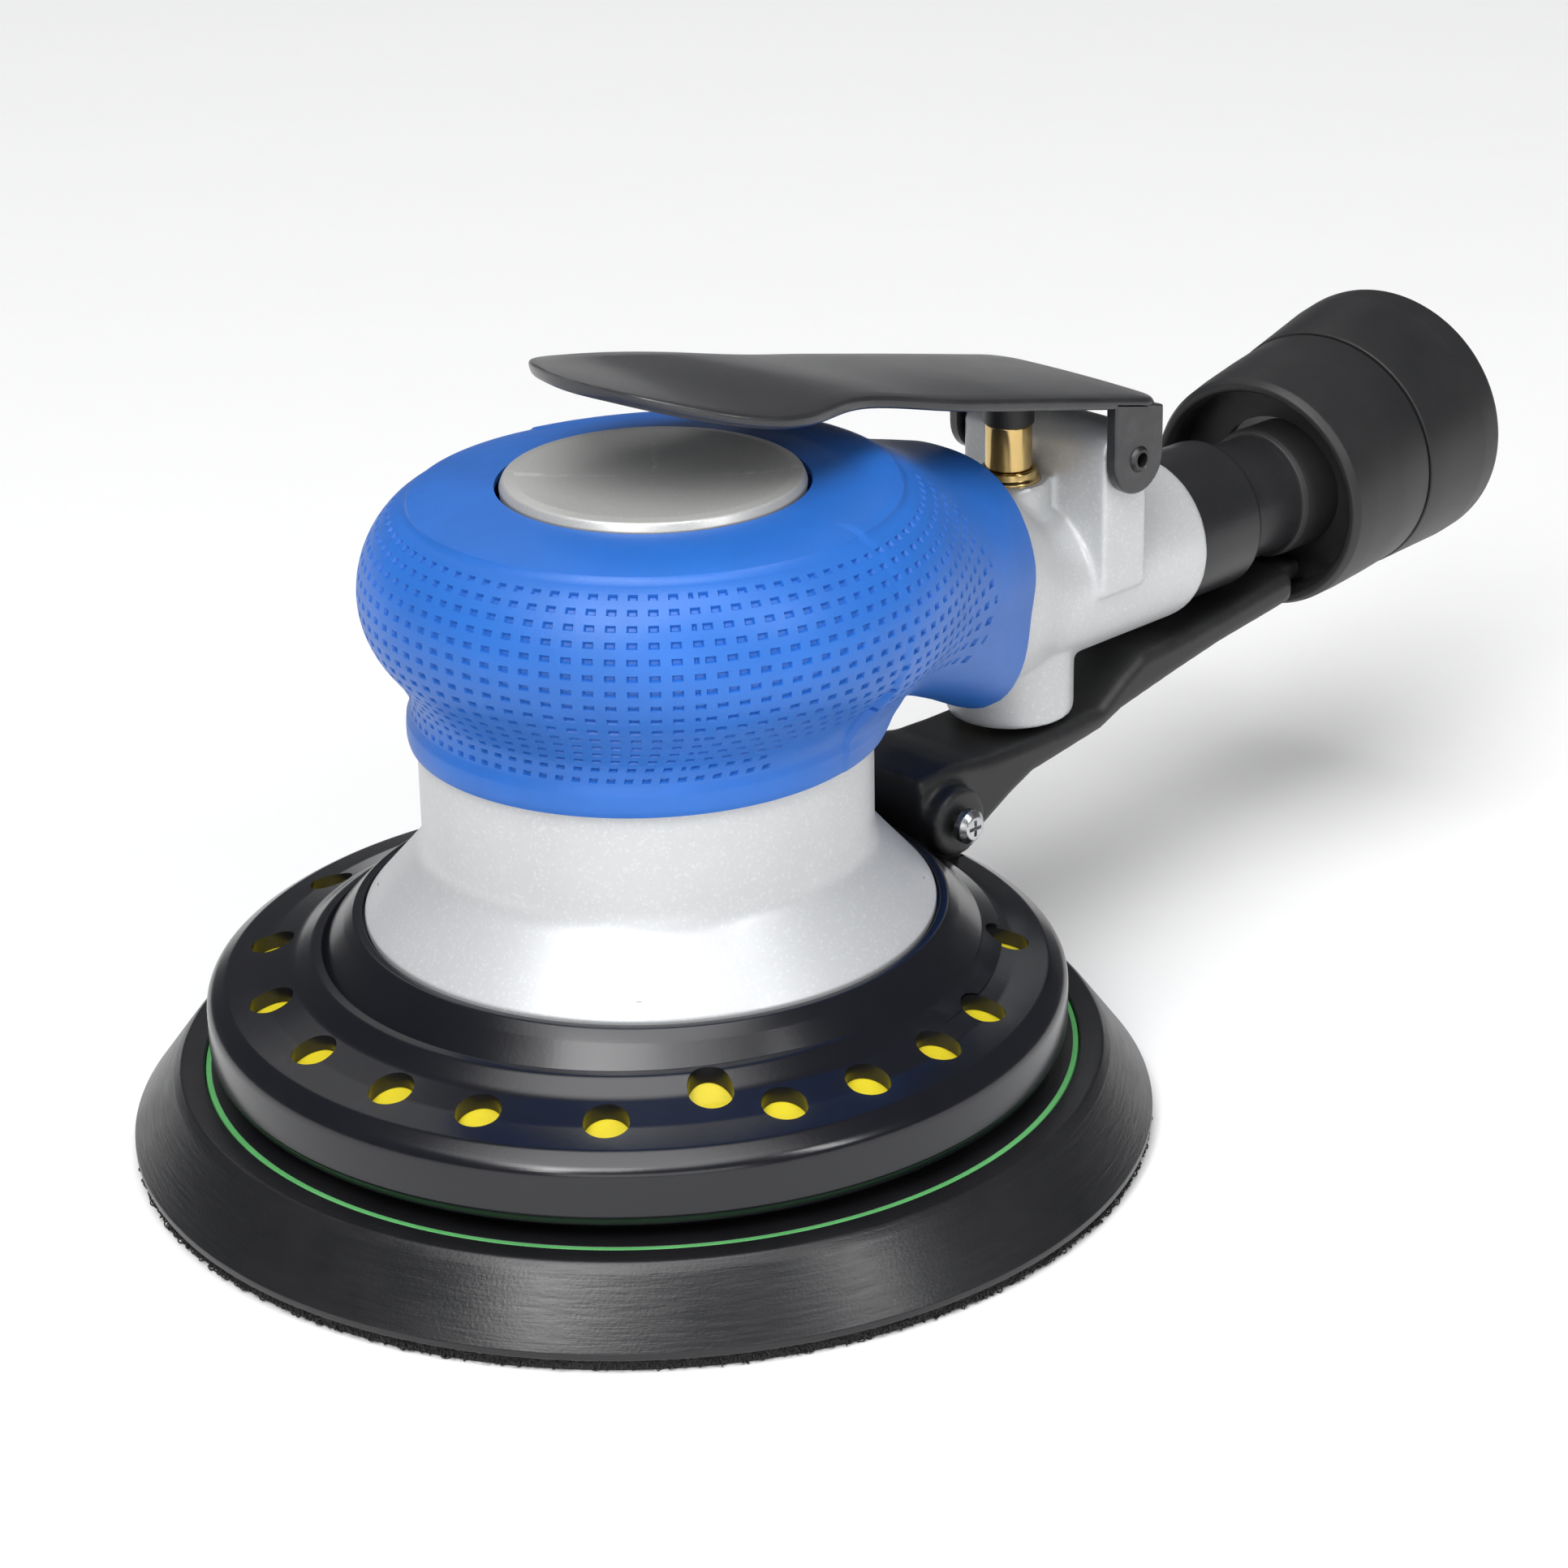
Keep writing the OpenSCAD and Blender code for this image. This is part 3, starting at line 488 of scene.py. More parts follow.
def make_finishes():
    """One finish for each material slot of the record."""
    given = bpy.context.scene.sander_finish
    blue = tuple(given.grip_colour)
    deep = tuple(c * 0.82 for c in blue)
    silver = tuple(given.housing_colour)
    dusk = tuple(c * 0.93 for c in silver)
    return {
        "housing_paint": finish("housing_paint", silver, dusk, 0.42, metallic=0.3, grain=1700,
            bump=0.3, fleck=0.06, wear=0.2, worn=(0.8, 0.81, 0.82), coat=0.1),
        "grip_rubber": finish("grip_rubber", blue, deep, 0.44, grain=2400, bump=0.7, spread=0.1),
        "cap_metal": finish("cap_metal", (0.60, 0.60, 0.58), (0.55, 0.55, 0.53), 0.4,
            metallic=0.45, grain=2600, bump=0.35, fleck=0.05, rings=2500, ring_bump=0.08,
            wear=0.6, worn=(0.9, 0.9, 0.88)),
        "lever_coat": finish("lever_coat", (0.016, 0.016, 0.018), (0.024, 0.024, 0.027), 0.36,
            grain=3200, bump=0.8, coat=0.25, wear=0.25, worn=(0.07, 0.07, 0.072)),
        "pin_steel": finish("pin_steel", (0.045, 0.045, 0.048), (0.07, 0.07, 0.07), 0.34,
            metallic=0.8, wear=0.9, worn=(0.6, 0.6, 0.6)),
        "brass": finish("brass", (0.70, 0.50, 0.20), (0.56, 0.40, 0.17), 0.22, metallic=1.0,
            grain=1600, bump=0.25, wear=0.4, worn=(0.95, 0.85, 0.6)),
        "black_plastic": finish("black_plastic", (0.012, 0.012, 0.013), (0.02, 0.02, 0.021), 0.5,
            bump=0.6, grain=2200),
        "seal_rubber": finish("seal_rubber", (0.016, 0.016, 0.017), (0.026, 0.026, 0.027), 0.55,
            bump=0.9, grain=1400),
        "steel": finish("steel", (0.56, 0.57, 0.58), (0.46, 0.47, 0.48), 0.28, metallic=1.0,
            bump=0.3, rings=2200, ring_bump=0.5),
        "inlet_black": finish("inlet_black", (0.012, 0.012, 0.014), (0.02, 0.02, 0.022), 0.36,
            bump=0.5, grain=2600, wear=0.5, worn=(0.12, 0.12, 0.12)),
        "vane_composite": finish("vane_composite", (0.30, 0.18, 0.09), (0.22, 0.13, 0.07), 0.6,
            grain=1200, bump=1.0),
        "aluminium": finish("aluminium", (0.62, 0.63, 0.64), (0.54, 0.55, 0.56), 0.33,
            metallic=1.0, rings=1800, ring_bump=0.5),
        "plate_green": finish("plate_green", (0.07, 0.33, 0.09), (0.12, 0.42, 0.14), 0.5,
            grain=1100, bump=1.0),
        "pad_rubber": finish("pad_rubber", (0.0075, 0.0078, 0.009), (0.012, 0.012, 0.0135), 0.33,
            grain=2000, bump=0.5, rings=1500, ring_bump=1.0, centre=PAD_X, spread=0.1),
        "hook_fabric": finish("hook_fabric", (0.010, 0.010, 0.010), (0.022, 0.022, 0.022), 0.85,
            grain=1500, bump=4.0, depth=0.2),
        "shroud_plastic": finish("shroud_plastic", (0.0045, 0.0048, 0.0075),
            (0.006, 0.0063, 0.009), 0.22, spread=0.04, grain=1500, bump=0.2, coat=0.1,
            wear=0.2, worn=(0.03, 0.03, 0.035)),
        "vent_yellow": finish("vent_yellow", (0.72, 0.60, 0.015), (0.62, 0.50, 0.012), 0.5,
            bump=0.8, grain=1600),
        "cuff_plastic": finish("cuff_plastic", (0.010, 0.0102, 0.011), (0.017, 0.017, 0.018),
            0.46, bump=0.7, grain=2000, spread=0.1, wear=0.35, worn=(0.06, 0.06, 0.06)),
    }


# Filled by main(), by material slot
FINISHES = {}


def slot_of(node):
    """The material slot that the record gives the node."""
    return next(s["material_slot"] for s in frame["record"]["subparts"] if s["node"] == node)


# ---- What a user would change ----

class SanderFinish(bpy.types.PropertyGroup):
    grip_colour: FloatVectorProperty(name="Grip colour", subtype="COLOR", min=0, max=1,
        description="Colour of the rubber grip", default=(0.020, 0.150, 0.570))
    housing_colour: FloatVectorProperty(name="Housing colour", subtype="COLOR", min=0, max=1,
        description="Colour of the painted casting", default=(0.60, 0.61, 0.62))


class SanderGrip(bpy.types.PropertyGroup):
    columns: IntProperty(name="Pit columns", description="Columns of pits round the grip",
        default=88, min=60, max=100)
    pit_depth: FloatProperty(name="Pit depth", description="How deep each pit is", unit="LENGTH",
        default=0.0005, min=0.0002, max=0.0008)


class SanderStage(bpy.types.PropertyGroup):
    lens: FloatProperty(name="Lens", description="Focal length of the camera", unit="CAMERA",
        default=93.2, min=50, max=150)
    key_power: FloatProperty(name="Key light", description="Power of the main soft light",
        unit="POWER", default=4.0, min=0, max=60)
    fill: FloatProperty(name="Fill", description="Brightness of the surroundings",
        default=1.0, min=0, max=3)


# ---- Pieces ----

class SANDER_OT_pad(bpy.types.Operator):
    """Builds the hook layer, the foam pad, its laminate plate and a black ring of painted shade over the plate"""
    bl_idname = "sander.pad"
    bl_label = "Backing pad"

    # Dust holes through the pad, in millimetres
    HOLES = 6
    HOLE_R = 5
    HOLE_REACH = 40

    def execute(self, context):
        centre = (PAD_X, 0, 0)
        rim = PAD_R
        top = FOAM_TOP
        recess = rim - 10.8
        body = turned("backing_pad", [(0.6, HOOK_TOP), (rim - 0.5, HOOK_TOP, 0.2),
            (rim, HOOK_TOP + 0.5, 0.3), (rim, HOOK_TOP + 1.4, 0.4), (rim - 6.3, top - 1.2, 1.2),
            (rim - 7.4, top, 0.8), (recess, top, 0.3), (recess, top - 3.2),
            (0.6, top - 3.2)], 256, centre=centre)
        plate_top = high("pad_plate", 2)
        plate = turned("laminate_plate", [(8, plate_top - 3), (recess - 0.15, plate_top - 3),
            (recess - 0.15, plate_top, 0.4), (8, plate_top)], 192, centre=centre)
        # A black ring laid over the green plate's top is painted shade. It stands for the shadow under the
        # shroud's skirt, so only a thin rim of green stays in view.
        plate_shade_ring = turned("plate_painted_shade", [(30, plate_top - 0.4), (recess - 0.95, plate_top - 0.4),
            (recess - 0.95, plate_top + 0.05, 0.1), (30, plate_top + 0.05)], 192, centre=centre)
        hook = turned("hook_layer", [(0.6, 0), (rim - 1.0, 0, 0.4), (rim - 0.6, HOOK_TOP, 0.2),
            (0.6, HOOK_TOP)], 192, centre=centre)
        for piece, floor, ceiling in ((body, HOOK_TOP - 1, top), (plate, top - 5, top + 1),
                (hook, -1, HOOK_TOP + 1)):
            holes = [self.dust_hole(i, floor, ceiling) for i in range(self.HOLES)]
            cut(piece, joined("dust_holes", *holes))
            smooth(piece)
        cut(plate_shade_ring, joined("dust_holes", *[self.dust_hole(i, 5, 20) for i in range(self.HOLES)]))
        place(plate_shade_ring, "pad", "pad_rubber", FINISHES["pad_rubber"])
        place(body, "pad", "pad_rubber", FINISHES["pad_rubber"], "pad_foam")
        place(plate, "pad", "plate_green", FINISHES["plate_green"], "pad_plate")
        place(hook, "pad", "hook_fabric", FINISHES["hook_fabric"], "hook_face")
        place(self.loops(rim), "pad", "hook_fabric", FINISHES["hook_fabric"])
        return {"FINISHED"}

    def dust_hole(self, i, floor, ceiling):
        """A cutter for one of the dust holes."""
        turn = (i + 0.5) * math.tau / self.HOLES
        at = (PAD_X + self.HOLE_REACH * math.cos(turn), self.HOLE_REACH * math.sin(turn))
        return rod("dust_hole", (*at, floor), (*at, ceiling), self.HOLE_R, sides=48)

    def loops(self, rim):
        """The ragged fringe of hook loops round the pad's lower edge."""
        draw = random.Random(7)
        deselect()
        bpy.ops.mesh.primitive_torus_add(major_segments=10, minor_segments=4,
            major_radius=0.55 * MM, minor_radius=0.13 * MM)
        first = named("hook_loop")
        shape = [vertex.co.copy() for vertex in first.data.vertices]
        loops = [first]
        total = 1500
        for i in range(1, total):
            copy = first.copy()
            copy.data = first.data.copy()
            bpy.context.scene.collection.objects.link(copy)
            loops.append(copy)
        for i, loop in enumerate(loops):
            turn = math.tau * (i + draw.uniform(-0.4, 0.4)) / total
            radius = (rim - draw.uniform(0.5, 1.1)) * MM
            height = draw.uniform(0.55, HOOK_TOP - 0.3) * MM
            lean = Matrix.Rotation(draw.uniform(0, math.pi), 4, "Y") \
                @ Matrix.Rotation(draw.uniform(0.4, 2.7), 4, "X")
            size = draw.uniform(0.6, 1.0)
            at = Matrix.Translation((PAD_X * MM + radius * math.cos(turn),
                radius * math.sin(turn), height)) @ Matrix.Rotation(turn, 4, "Z") @ lean
            for vertex, co in zip(loop.data.vertices, shape):
                spot = at @ (co * size)
                spot.z = max(spot.z, 0.05 * MM)
                vertex.co = spot
        return smooth(joined("hook_loops", *loops), 60)


class SANDER_OT_shroud(bpy.types.Operator):
    """Builds the dust shroud with its vent holes"""
    bl_idname = "sander.shroud"
    bl_label = "Dust shroud"

    # Vent holes: degrees about the shroud's centre, and distances in millimetres
    VENT_TURNS = (107, 131, 152, 171, 189, 204, 223, 239, 249, 263, 278, 292, 317)
    VENT_REACH = 54
    INNER_VENT_TURN = 239
    INNER_VENT_REACH = 49.5
    VENT_R = 3.2

    def execute(self, context):
        r = SHROUD_R
        skirt = turned("dust_shroud", [(r - 2.6, 14.0, 0.3), (r - 0.7, 15.4, 0.5), (r, 16.9, 1.2),
            (r, 23.6, 2.6), (r - 2.9, 25.4, 2.0), (55, 26.3, 6), (50, 27.9, 5), (47.2, 29.9, 2),
            (45.8, 30.2, 0.4), (45.2, 28.4), (49, 26), (54, 24.3), (r - 4.2, 23.1, 1),
            (r - 2.4, 21.5, 1), (r - 2.4, 16.5), (r - 4, 14)], 256, 6, centre=(SHROUD_X, 0, 0))
        collar = turned("shroud_collar", [(36, 31), (36, 33.1), (FLANGE_R + 0.45, 33.1),
            (FLANGE_R + 0.45, 34.1, 0.25), (FLANGE_R + 1.7, 34.1, 0.7),
            (FLANGE_R + 3.2, 32.6, 2.0), (FLANGE_R + 6.6, 28.9, 1.0), (FLANGE_R + 9.5, 27.4),
            (FLANGE_R + 1.6, 31)], 256, 5)
        use(skirt, "BOOLEAN", operation="UNION", solver="EXACT", object=collar)
        bpy.data.objects.remove(collar)
        holes = []
        for turn in self.VENT_TURNS:
            reach = self.INNER_VENT_REACH if turn == self.INNER_VENT_TURN else self.VENT_REACH
            at = (SHROUD_X + reach * math.cos(math.radians(turn)),
                reach * math.sin(math.radians(turn)))
            holes.append(rod("vent_hole", (*at, 20), (*at, 34), self.VENT_R, sides=48))
        cut(skirt, joined("vent_holes", *holes))
        slot = block("duct_slot", (51, 0, 26), (10.3, 20.3, 28))
        cut(skirt, slot)
        smooth(skirt, 28)
        place(skirt, "housing", "shroud_plastic", FINISHES["shroud_plastic"], "shroud")
        return {"FINISHED"}


class SANDER_OT_housing(bpy.types.Operator):
    """Builds the painted motor barrel, and the casting that carries the valve and the handle"""
    bl_idname = "sander.housing"
    bl_label = "Housing casting"

    def execute(self, context):
        r = BARREL_R
        barrel = turned("motor_barrel", [(30, FLANGE_Z - 0.2), (FLANGE_R - 0.4, FLANGE_Z - 0.2, 0.2),
            (FLANGE_R, FLANGE_Z + 0.1, 0.3), (FLANGE_R, FLANGE_Z + 1.2, 0.7),
            (r + 4.2, 39.7, 3.0), (r, 44.6, 5.5), (r, GRIP_Z, 0.15), (30, GRIP_Z)], 224, 7)
        place(barrel, "housing", "housing_paint", FINISHES["housing_paint"], "motor_housing")
        place(self.casting(), "housing", "housing_paint", FINISHES["housing_paint"])
        return {"FINISHED"}

    def neck_ring(self, x):
        """The casting's outline across the handle: an egg by the grip, a circle further out."""
        t = min(1, max(0, (x - 62) / 17))
        t = t * t * (3 - 2 * t)
        top = 86.2 + (TUBE_Z + 13.2 - 86.2) * t
        bottom = 47.3 + (TUBE_Z - 13.2 - 47.3) * t + max(0, 62 - x) * 0.9
        half = 16.9 + (13.2 - 16.9) * t
        mid, tall = (top + bottom) / 2, (top - bottom) / 2
        ring = []
        for i in range(72):
            a = math.tau * i / 72
            ring.append((x, half * math.cos(a), mid + tall * math.sin(a)))
        return ring

    def casting(self):
        """The neck, tube, bosses and lever stand melted into one casting, then bored."""
        neck = lofted("neck", [self.neck_ring(x) for x in range(57, 82, 2)])
        tube = turned("tube", [(0.5, 0), (13.4, 0, 1.0), (13.4, TUBE_END - 66, 1.6),
            (0.5, TUBE_END - 66)], 96, centre=(66, 0, TUBE_Z), axis=(1, 0, 0))
        stem_boss = rod("stem_boss", (STEM_X, 0, TUBE_Z), (STEM_X, 0, BOSS_TOP), STEM_R + 2.7)
        rib = block("rib", ((STEM_X + 58) / 2, 0, 72), (STEM_X - 58, 11.0, 13.0))
        lower = rod("lower_boss", (STEM_X + 0.5, 0, 40.9), (STEM_X + 0.5, 0, TUBE_Z), 10.0, 1.0)
        width = 2 * (LEVER_HALF_W - LEVER_THICK - 0.5)
        stand = block("pin_stand", (PIN_X, 0, (TUBE_Z + PIN_Z) / 2), (10, width, PIN_Z - TUBE_Z))
        crown = rod("pin_crown", (PIN_X, -width / 2, PIN_Z), (PIN_X, width / 2, PIN_Z), 5.0)
        dial_x = middle("speed_dial", 0)
        dial_boss = rod("dial_boss", (dial_x, 0, TUBE_Z), (dial_x, 16, TUBE_Z), 7.0)
        whole = cast(joined("handle_casting", neck, tube, stem_boss, rib, lower, stand, crown,
            dial_boss), 0.6, 5)
        cut(whole, rod("bushing_bore", (STEM_X, 0, 76.5), (STEM_X, 0, 90), 5.0),
            rod("pin_bore", (PIN_X, -30, PIN_Z), (PIN_X, 30, PIN_Z), 2.03, sides=48),
            rod("inlet_bore", (TUBE_END - 4, 0, TUBE_Z), (TUBE_END + 5, 0, TUBE_Z), 8.1),
            rod("plug_bore", (STEM_X, 0, 30), (STEM_X, 0, 44), 7.5))
        return smooth(whole, 40)


class SANDER_OT_grip(bpy.types.Operator):
    """Builds the rubber palm grip with its band of pits"""
    bl_idname = "sander.grip"
    bl_label = "Palm grip"

    # The bulb's outline in the half-plane: radius and height, from the foot to the cap
    OUTLINE = [(33.5, 61.6), (33.7, 62.6), (33.7, 65.0), (34.0, 66.6), (35.0, 68.8), (37.2, 71.4),
        (39.8, 74.4), (41.5, 77.6), (42.3, 81.0), (42.2, 84.6), (41.2, 88.2), (39.4, 91.4),
        (36.9, 93.9), (33.6, 95.3), (29.6, 96.1), (25.5, 96.5), (22.3, 96.6)]
    INNER = (20, 78)
    CREASE = 50
    REAR = 61.5

    def bulb_reach(self, angle):
        """Distance from the inner point to the bulb's outline at an angle."""
        table = self.table
        for (a, ra), (b, rb) in zip(table, table[1:]):
            if angle <= b:
                return ra + (rb - ra) * (angle - a) / (b - a)
        return table[-1][1]

    def neck_reach(self, turn, angle):
        """Distance from the inner point to the neck's surface, or nothing away from it."""
        inner_r, inner_z = self.INNER
        if math.cos(turn) < 0.2:
            return 0
        lower, upper = 0.0, 70.0
        for _ in range(22):
            reach = (lower + upper) / 2
            r = inner_r + reach * math.cos(angle)
            z = inner_z + reach * math.sin(angle)
            x, y = r * math.cos(turn), r * math.sin(turn)
            if self.in_neck(x, y, z):
                lower = reach
            else:
                upper = reach
        return lower

    def in_neck(self, x, y, z):
        """Whether a point is in the neck, which tapers toward its flat rear."""
        if x > self.REAR + 6:
            return False
        t = max(0.0, min(1.1, (x - 4) / (self.REAR - 4)))
        half = 34.0 - 4.6 * t - 11.0 * t * t
        top = 95.4 - 1.2 * t - 7.0 * t * t
        bottom = 63.5 - 3.0 * t - 14.0 * t * t
        mid, tall = (top + bottom) / 2, (top - bottom) / 2
        return (abs(y) / half) ** 2.5 + (abs(z - mid) / tall) ** 2.3 < 1

    def execute(self, context):
        given = context.scene.sander_grip
        inner_r, inner_z = self.INNER
        curve = []
        points = self.OUTLINE
        for i in range(len(points) - 1):
            a, b = points[max(0, i - 1)], points[i]
            c, d = points[i + 1], points[min(len(points) - 1, i + 2)]
            for k in range(8):
                t = k / 8
                curve.append(tuple(0.5 * (2 * q + (s - p) * t + (2 * p - 5 * q + 4 * s - w) * t * t
                    + (3 * q - 3 * s + w - p) * t ** 3) for p, q, s, w in zip(a, b, c, d)))
        curve.append(points[-1])
        self.table = [(math.atan2(z - inner_z, r - inner_r), math.hypot(z - inner_z, r - inner_r))
            for r, z in curve]
        columns = given.columns * 4
        rows = self.rows()
        deselect()
        bpy.ops.mesh.primitive_grid_add(x_subdivisions=columns, y_subdivisions=len(rows) - 1, size=1)
        piece = named("palm_grip_skin")
        for vertex in piece.data.vertices:
            column = round((vertex.co.x + 0.5) * columns)
            row = round((vertex.co.y + 0.5) * (len(rows) - 1))
            vertex.co = self.spot(math.tau * column / columns, rows[row])
        self.make_pits(piece, columns, given.pit_depth)
        self.close(piece)
        place(piece, "housing", "grip_rubber", FINISHES["grip_rubber"], "palm_grip")
        return {"FINISHED"}

    FOOT_ROWS = 8
    PIT_ROWS = 17

    # Degrees from the handle: no pits nearer than the first, a raised border, staggered rows
    PLAIN_TURN = 31
    RAISED_TURN = 104
    STAGGER_TURN = 125

    def rows(self):
        """Angles of the grid's rows: the foot band, the pitted band and the smooth top."""
        first, last = self.table[0][0], self.table[-1][0]
        band, crease = math.radians(-42.5), math.radians(self.CREASE)
        rows = [first + (band - first) * i / self.FOOT_ROWS for i in range(self.FOOT_ROWS)]
        for i in range(self.PIT_ROWS):
            for part in (0.0, 0.30, 0.72):
                rows.append(band + (crease - band) * (i + part) / self.PIT_ROWS)
        rows += [crease + (last - crease) * i / 22 for i in range(23)]
        return rows

    def spot(self, turn, angle):
        """A point of the grip's skin: the bulb and the neck blended into each other."""
        bulb = self.bulb_reach(angle)
        neck = self.neck_reach(turn, angle)
        fade = min(1, max(0, (math.degrees(angle) - 50) / 26))
        blend_width = 11.0 - 10.6 * fade * fade * (3 - 2 * fade)
        overlap = max(blend_width - abs(bulb - neck), 0) / blend_width
        reach = max(bulb, neck) + overlap * overlap * blend_width / 4
        if neck == 0:
            reach = bulb
        if angle > math.radians(self.CREASE) - 0.001 or angle < math.radians(-42.6):
            reach += 0.55
        r = self.INNER[0] + reach * math.cos(angle)
        z = self.INNER[1] + reach * math.sin(angle)
        t = min(1, max(0, (z - 63) / 11))
        lean = BULB_SHIFT * t * t * (3 - 2 * t)
        return Vector((r * math.cos(turn) + lean, r * math.sin(turn), z)) * MM

    def make_pits(self, piece, columns, depth):
        """Presses a pit into each marked pair of faces of the band."""
        for polygon in piece.data.polygons:
            rows_of = polygon.index // columns
            column = polygon.index % columns
            band_row = rows_of - self.FOOT_ROWS
            row, part = divmod(band_row, 3)
            if part != 1 or not 0 <= row < self.PIT_ROWS:
                polygon.select = False
                continue
            turn = 360 * column / columns
            away = min(turn, 360 - turn)
            shifted = 2 if row % 2 and away < self.STAGGER_TURN else 0
            low_row = 3 if away < self.RAISED_TURN else 0
            in_band = away > self.PLAIN_TURN and low_row <= row < self.PIT_ROWS - 1
            polygon.select = in_band and (column + shifted) % 4 in (1, 2)
        bpy.context.view_layer.objects.active = piece
        piece.select_set(True)
        bpy.context.tool_settings.mesh_select_mode = (False, False, True)
        bpy.ops.object.mode_set(mode="EDIT")
        bpy.ops.mesh.inset(thickness=0.24 * MM, depth=0)
        bpy.ops.transform.shrink_fatten(value=-depth)
        bpy.ops.object.mode_set(mode="OBJECT")

    def close(self, piece):
        """Joins the seam, gives the shell its inner wall and cuts the rear flat."""
        edit_all(piece)
        bpy.ops.mesh.remove_doubles(threshold=0.01 * MM)
        bpy.ops.object.mode_set(mode="OBJECT")
        use(piece, "SOLIDIFY", thickness=0.9 * MM, offset=-1.0)
        edit_all(piece)
        bpy.ops.mesh.bisect(plane_co=(self.REAR * MM, 0, 0), plane_no=(1, 0, 0), use_fill=True,
            clear_outer=True)
        bpy.ops.object.mode_set(mode="OBJECT")
        outward(piece)
        smooth(piece, 50)


class SANDER_OT_cap(bpy.types.Operator):
    """Builds the dished metal cap in the top of the grip"""
    bl_idname = "sander.cap"
    bl_label = "Top cap"

    def execute(self, context):
        r = (high("top_cap", 0) - low("top_cap", 0)) / 2
        top = high("top_cap", 2)
        cap = turned("dished_cap", [(0.3, top - 3.6), (r - 0.2, top - 3.6), (r, top - 1.4, 0.6),
            (r - 0.5, top - 0.25, 0.6), (r - 2.2, top, 1.6), (r - 8, top - 0.25, 6),
            (0.3, top - 0.65)], 192, 8, centre=(BULB_SHIFT, 0, 0))
        place(cap, "housing", "cap_metal", FINISHES["cap_metal"], "top_cap")
        return {"FINISHED"}


class SANDER_OT_lever(bpy.types.Operator):
    """Builds the pressed throttle lever with its two ears"""
    bl_idname = "sander.lever"
    bl_label = "Throttle lever"

    # Height of the lever's top face at distances along the handle, in millimetres
    LINE = [(-12, 115.5), (5, 111.3), (25, 107.8), (47, 102.6), (66, 98.3), (88, 93.2), (92.5, 92.1)]

    def height(self, x):
        """Height of the plate's top face at a distance along the handle."""
        line = self.LINE
        for i in range(len(line) - 1):
            if x <= line[i + 1][0]:
                break
        a = line[max(0, i - 1)]
        b, c = line[i], line[i + 1]
        d = line[min(len(line) - 1, i + 2)]
        t = (x - b[0]) / (c[0] - b[0])
        rise_b = (c[1] - a[1]) / (c[0] - a[0]) * (c[0] - b[0])
        rise_c = (d[1] - b[1]) / (d[0] - b[0]) * (c[0] - b[0])
        return (b[1] * (1 + 2 * t) * (1 - t) ** 2 + rise_b * t * (1 - t) ** 2
            + c[1] * t * t * (3 - 2 * t) + rise_c * t * t * (t - 1))

    def half_width(self, x):
        """Half the plate's width at a distance along the handle."""
        def ease(a, b, start, end):
            t = (x - start) / (end - start)
            return a + (b - a) * (1 - math.cos(math.pi * t)) / 2
        if x < 9:
            return 22 * math.sqrt(max(0.0, 1 - ((9 - x) / 21) ** 2))
        if x < 33:
            return ease(22, 15.4, 9, 33)
        if x < 50:
            return ease(15.4, LEVER_HALF_W, 33, 50)
        if x < 88.5:
            return LEVER_HALF_W
        return LEVER_HALF_W - 4 + math.sqrt(max(0.0, 16 - (x - 88.5) ** 2))

    def strip(self, x):
        """A ring round the plate at a distance along the handle."""
        half = max(self.half_width(x), 0.4)
        top = self.height(x)
        edge = min(0.7, half * 0.5)
        slope = (self.height(min(92.5, x + 1)) - self.height(max(-12, x - 1))) / 2
        side, floor = half - edge, edge - LEVER_THICK
        lines = 12

        def corner(y, z, start):
            """A rounded edge of the plate: a quarter turn without its ends."""
            turns = [math.radians(start + 22.5 * k) for k in range(1, 4)]
            return [(y + edge * math.cos(a), z + edge * math.sin(a)) for a in turns]

        ring = [(side - 2 * side * i / lines, 0.0) for i in range(lines + 1)]
        ring += corner(-side, -edge, 90) + [(-half, -edge), (-half, floor)]
        ring += corner(-side, floor, 180)
        ring += [(-side + 2 * side * i / lines, -LEVER_THICK) for i in range(lines + 1)]
        ring += corner(side, floor, 270) + [(half, floor), (half, -edge)]
        ring += corner(side, -edge, 0)
        crown = 0.5
        return [(x + slope * dz, y, top + dz - crown * (y / 20) ** 2) for y, dz in ring]

    def execute(self, context):
        stations = [-12 + 21 * (1 - math.cos(math.pi / 2 * i / 22)) for i in range(1, 23)]
        stations += [9 + 79.5 * i / 44 for i in range(1, 45)]
        stations += [88.5 + 4 * math.sin(math.pi / 2 * i / 8) for i in range(1, 9)]
        plate = lofted("plate", [self.strip(x) for x in stations])
        parts = [plate]
        for side in (-1, 1):
            parts.append(self.ear(side * (LEVER_HALF_W - LEVER_THICK / 2)))
        lever = joined("throttle_plate", *parts)
        smooth(lever, 40)
        place(lever, "lever", "lever_coat", FINISHES["lever_coat"], "throttle_lever")
        return {"FINISHED"}

    def ear(self, y):
        """One ear: a flat cheek that hangs from the plate's edge round the pin."""
        r = 5.5
        ring = []
        for k in range(17):
            a = math.pi + math.pi * k / 16
            ring.append((PIN_X + r * math.cos(a), PIN_Z + r * math.sin(a)))
        ring.append((PIN_X + r, self.height(PIN_X + r - 0.1) - 1.2))
        ring.append((PIN_X, self.height(PIN_X) - 1.0))
        ring.append((PIN_X - r, self.height(PIN_X - r) - 1.0))
        layers = [[(x, y - 1.0, z) for x, z in ring], [(x, y + 1.0, z) for x, z in ring]]
        cheek = lofted("cheek", layers)
        use(cheek, "BEVEL", width=0.35 * MM, segments=3, angle_limit=math.radians(40))
        bore = rod("ear_bore", (PIN_X, y - 4, PIN_Z), (PIN_X, y + 4, PIN_Z), 2.05, sides=48)
        return cut(cheek, bore)


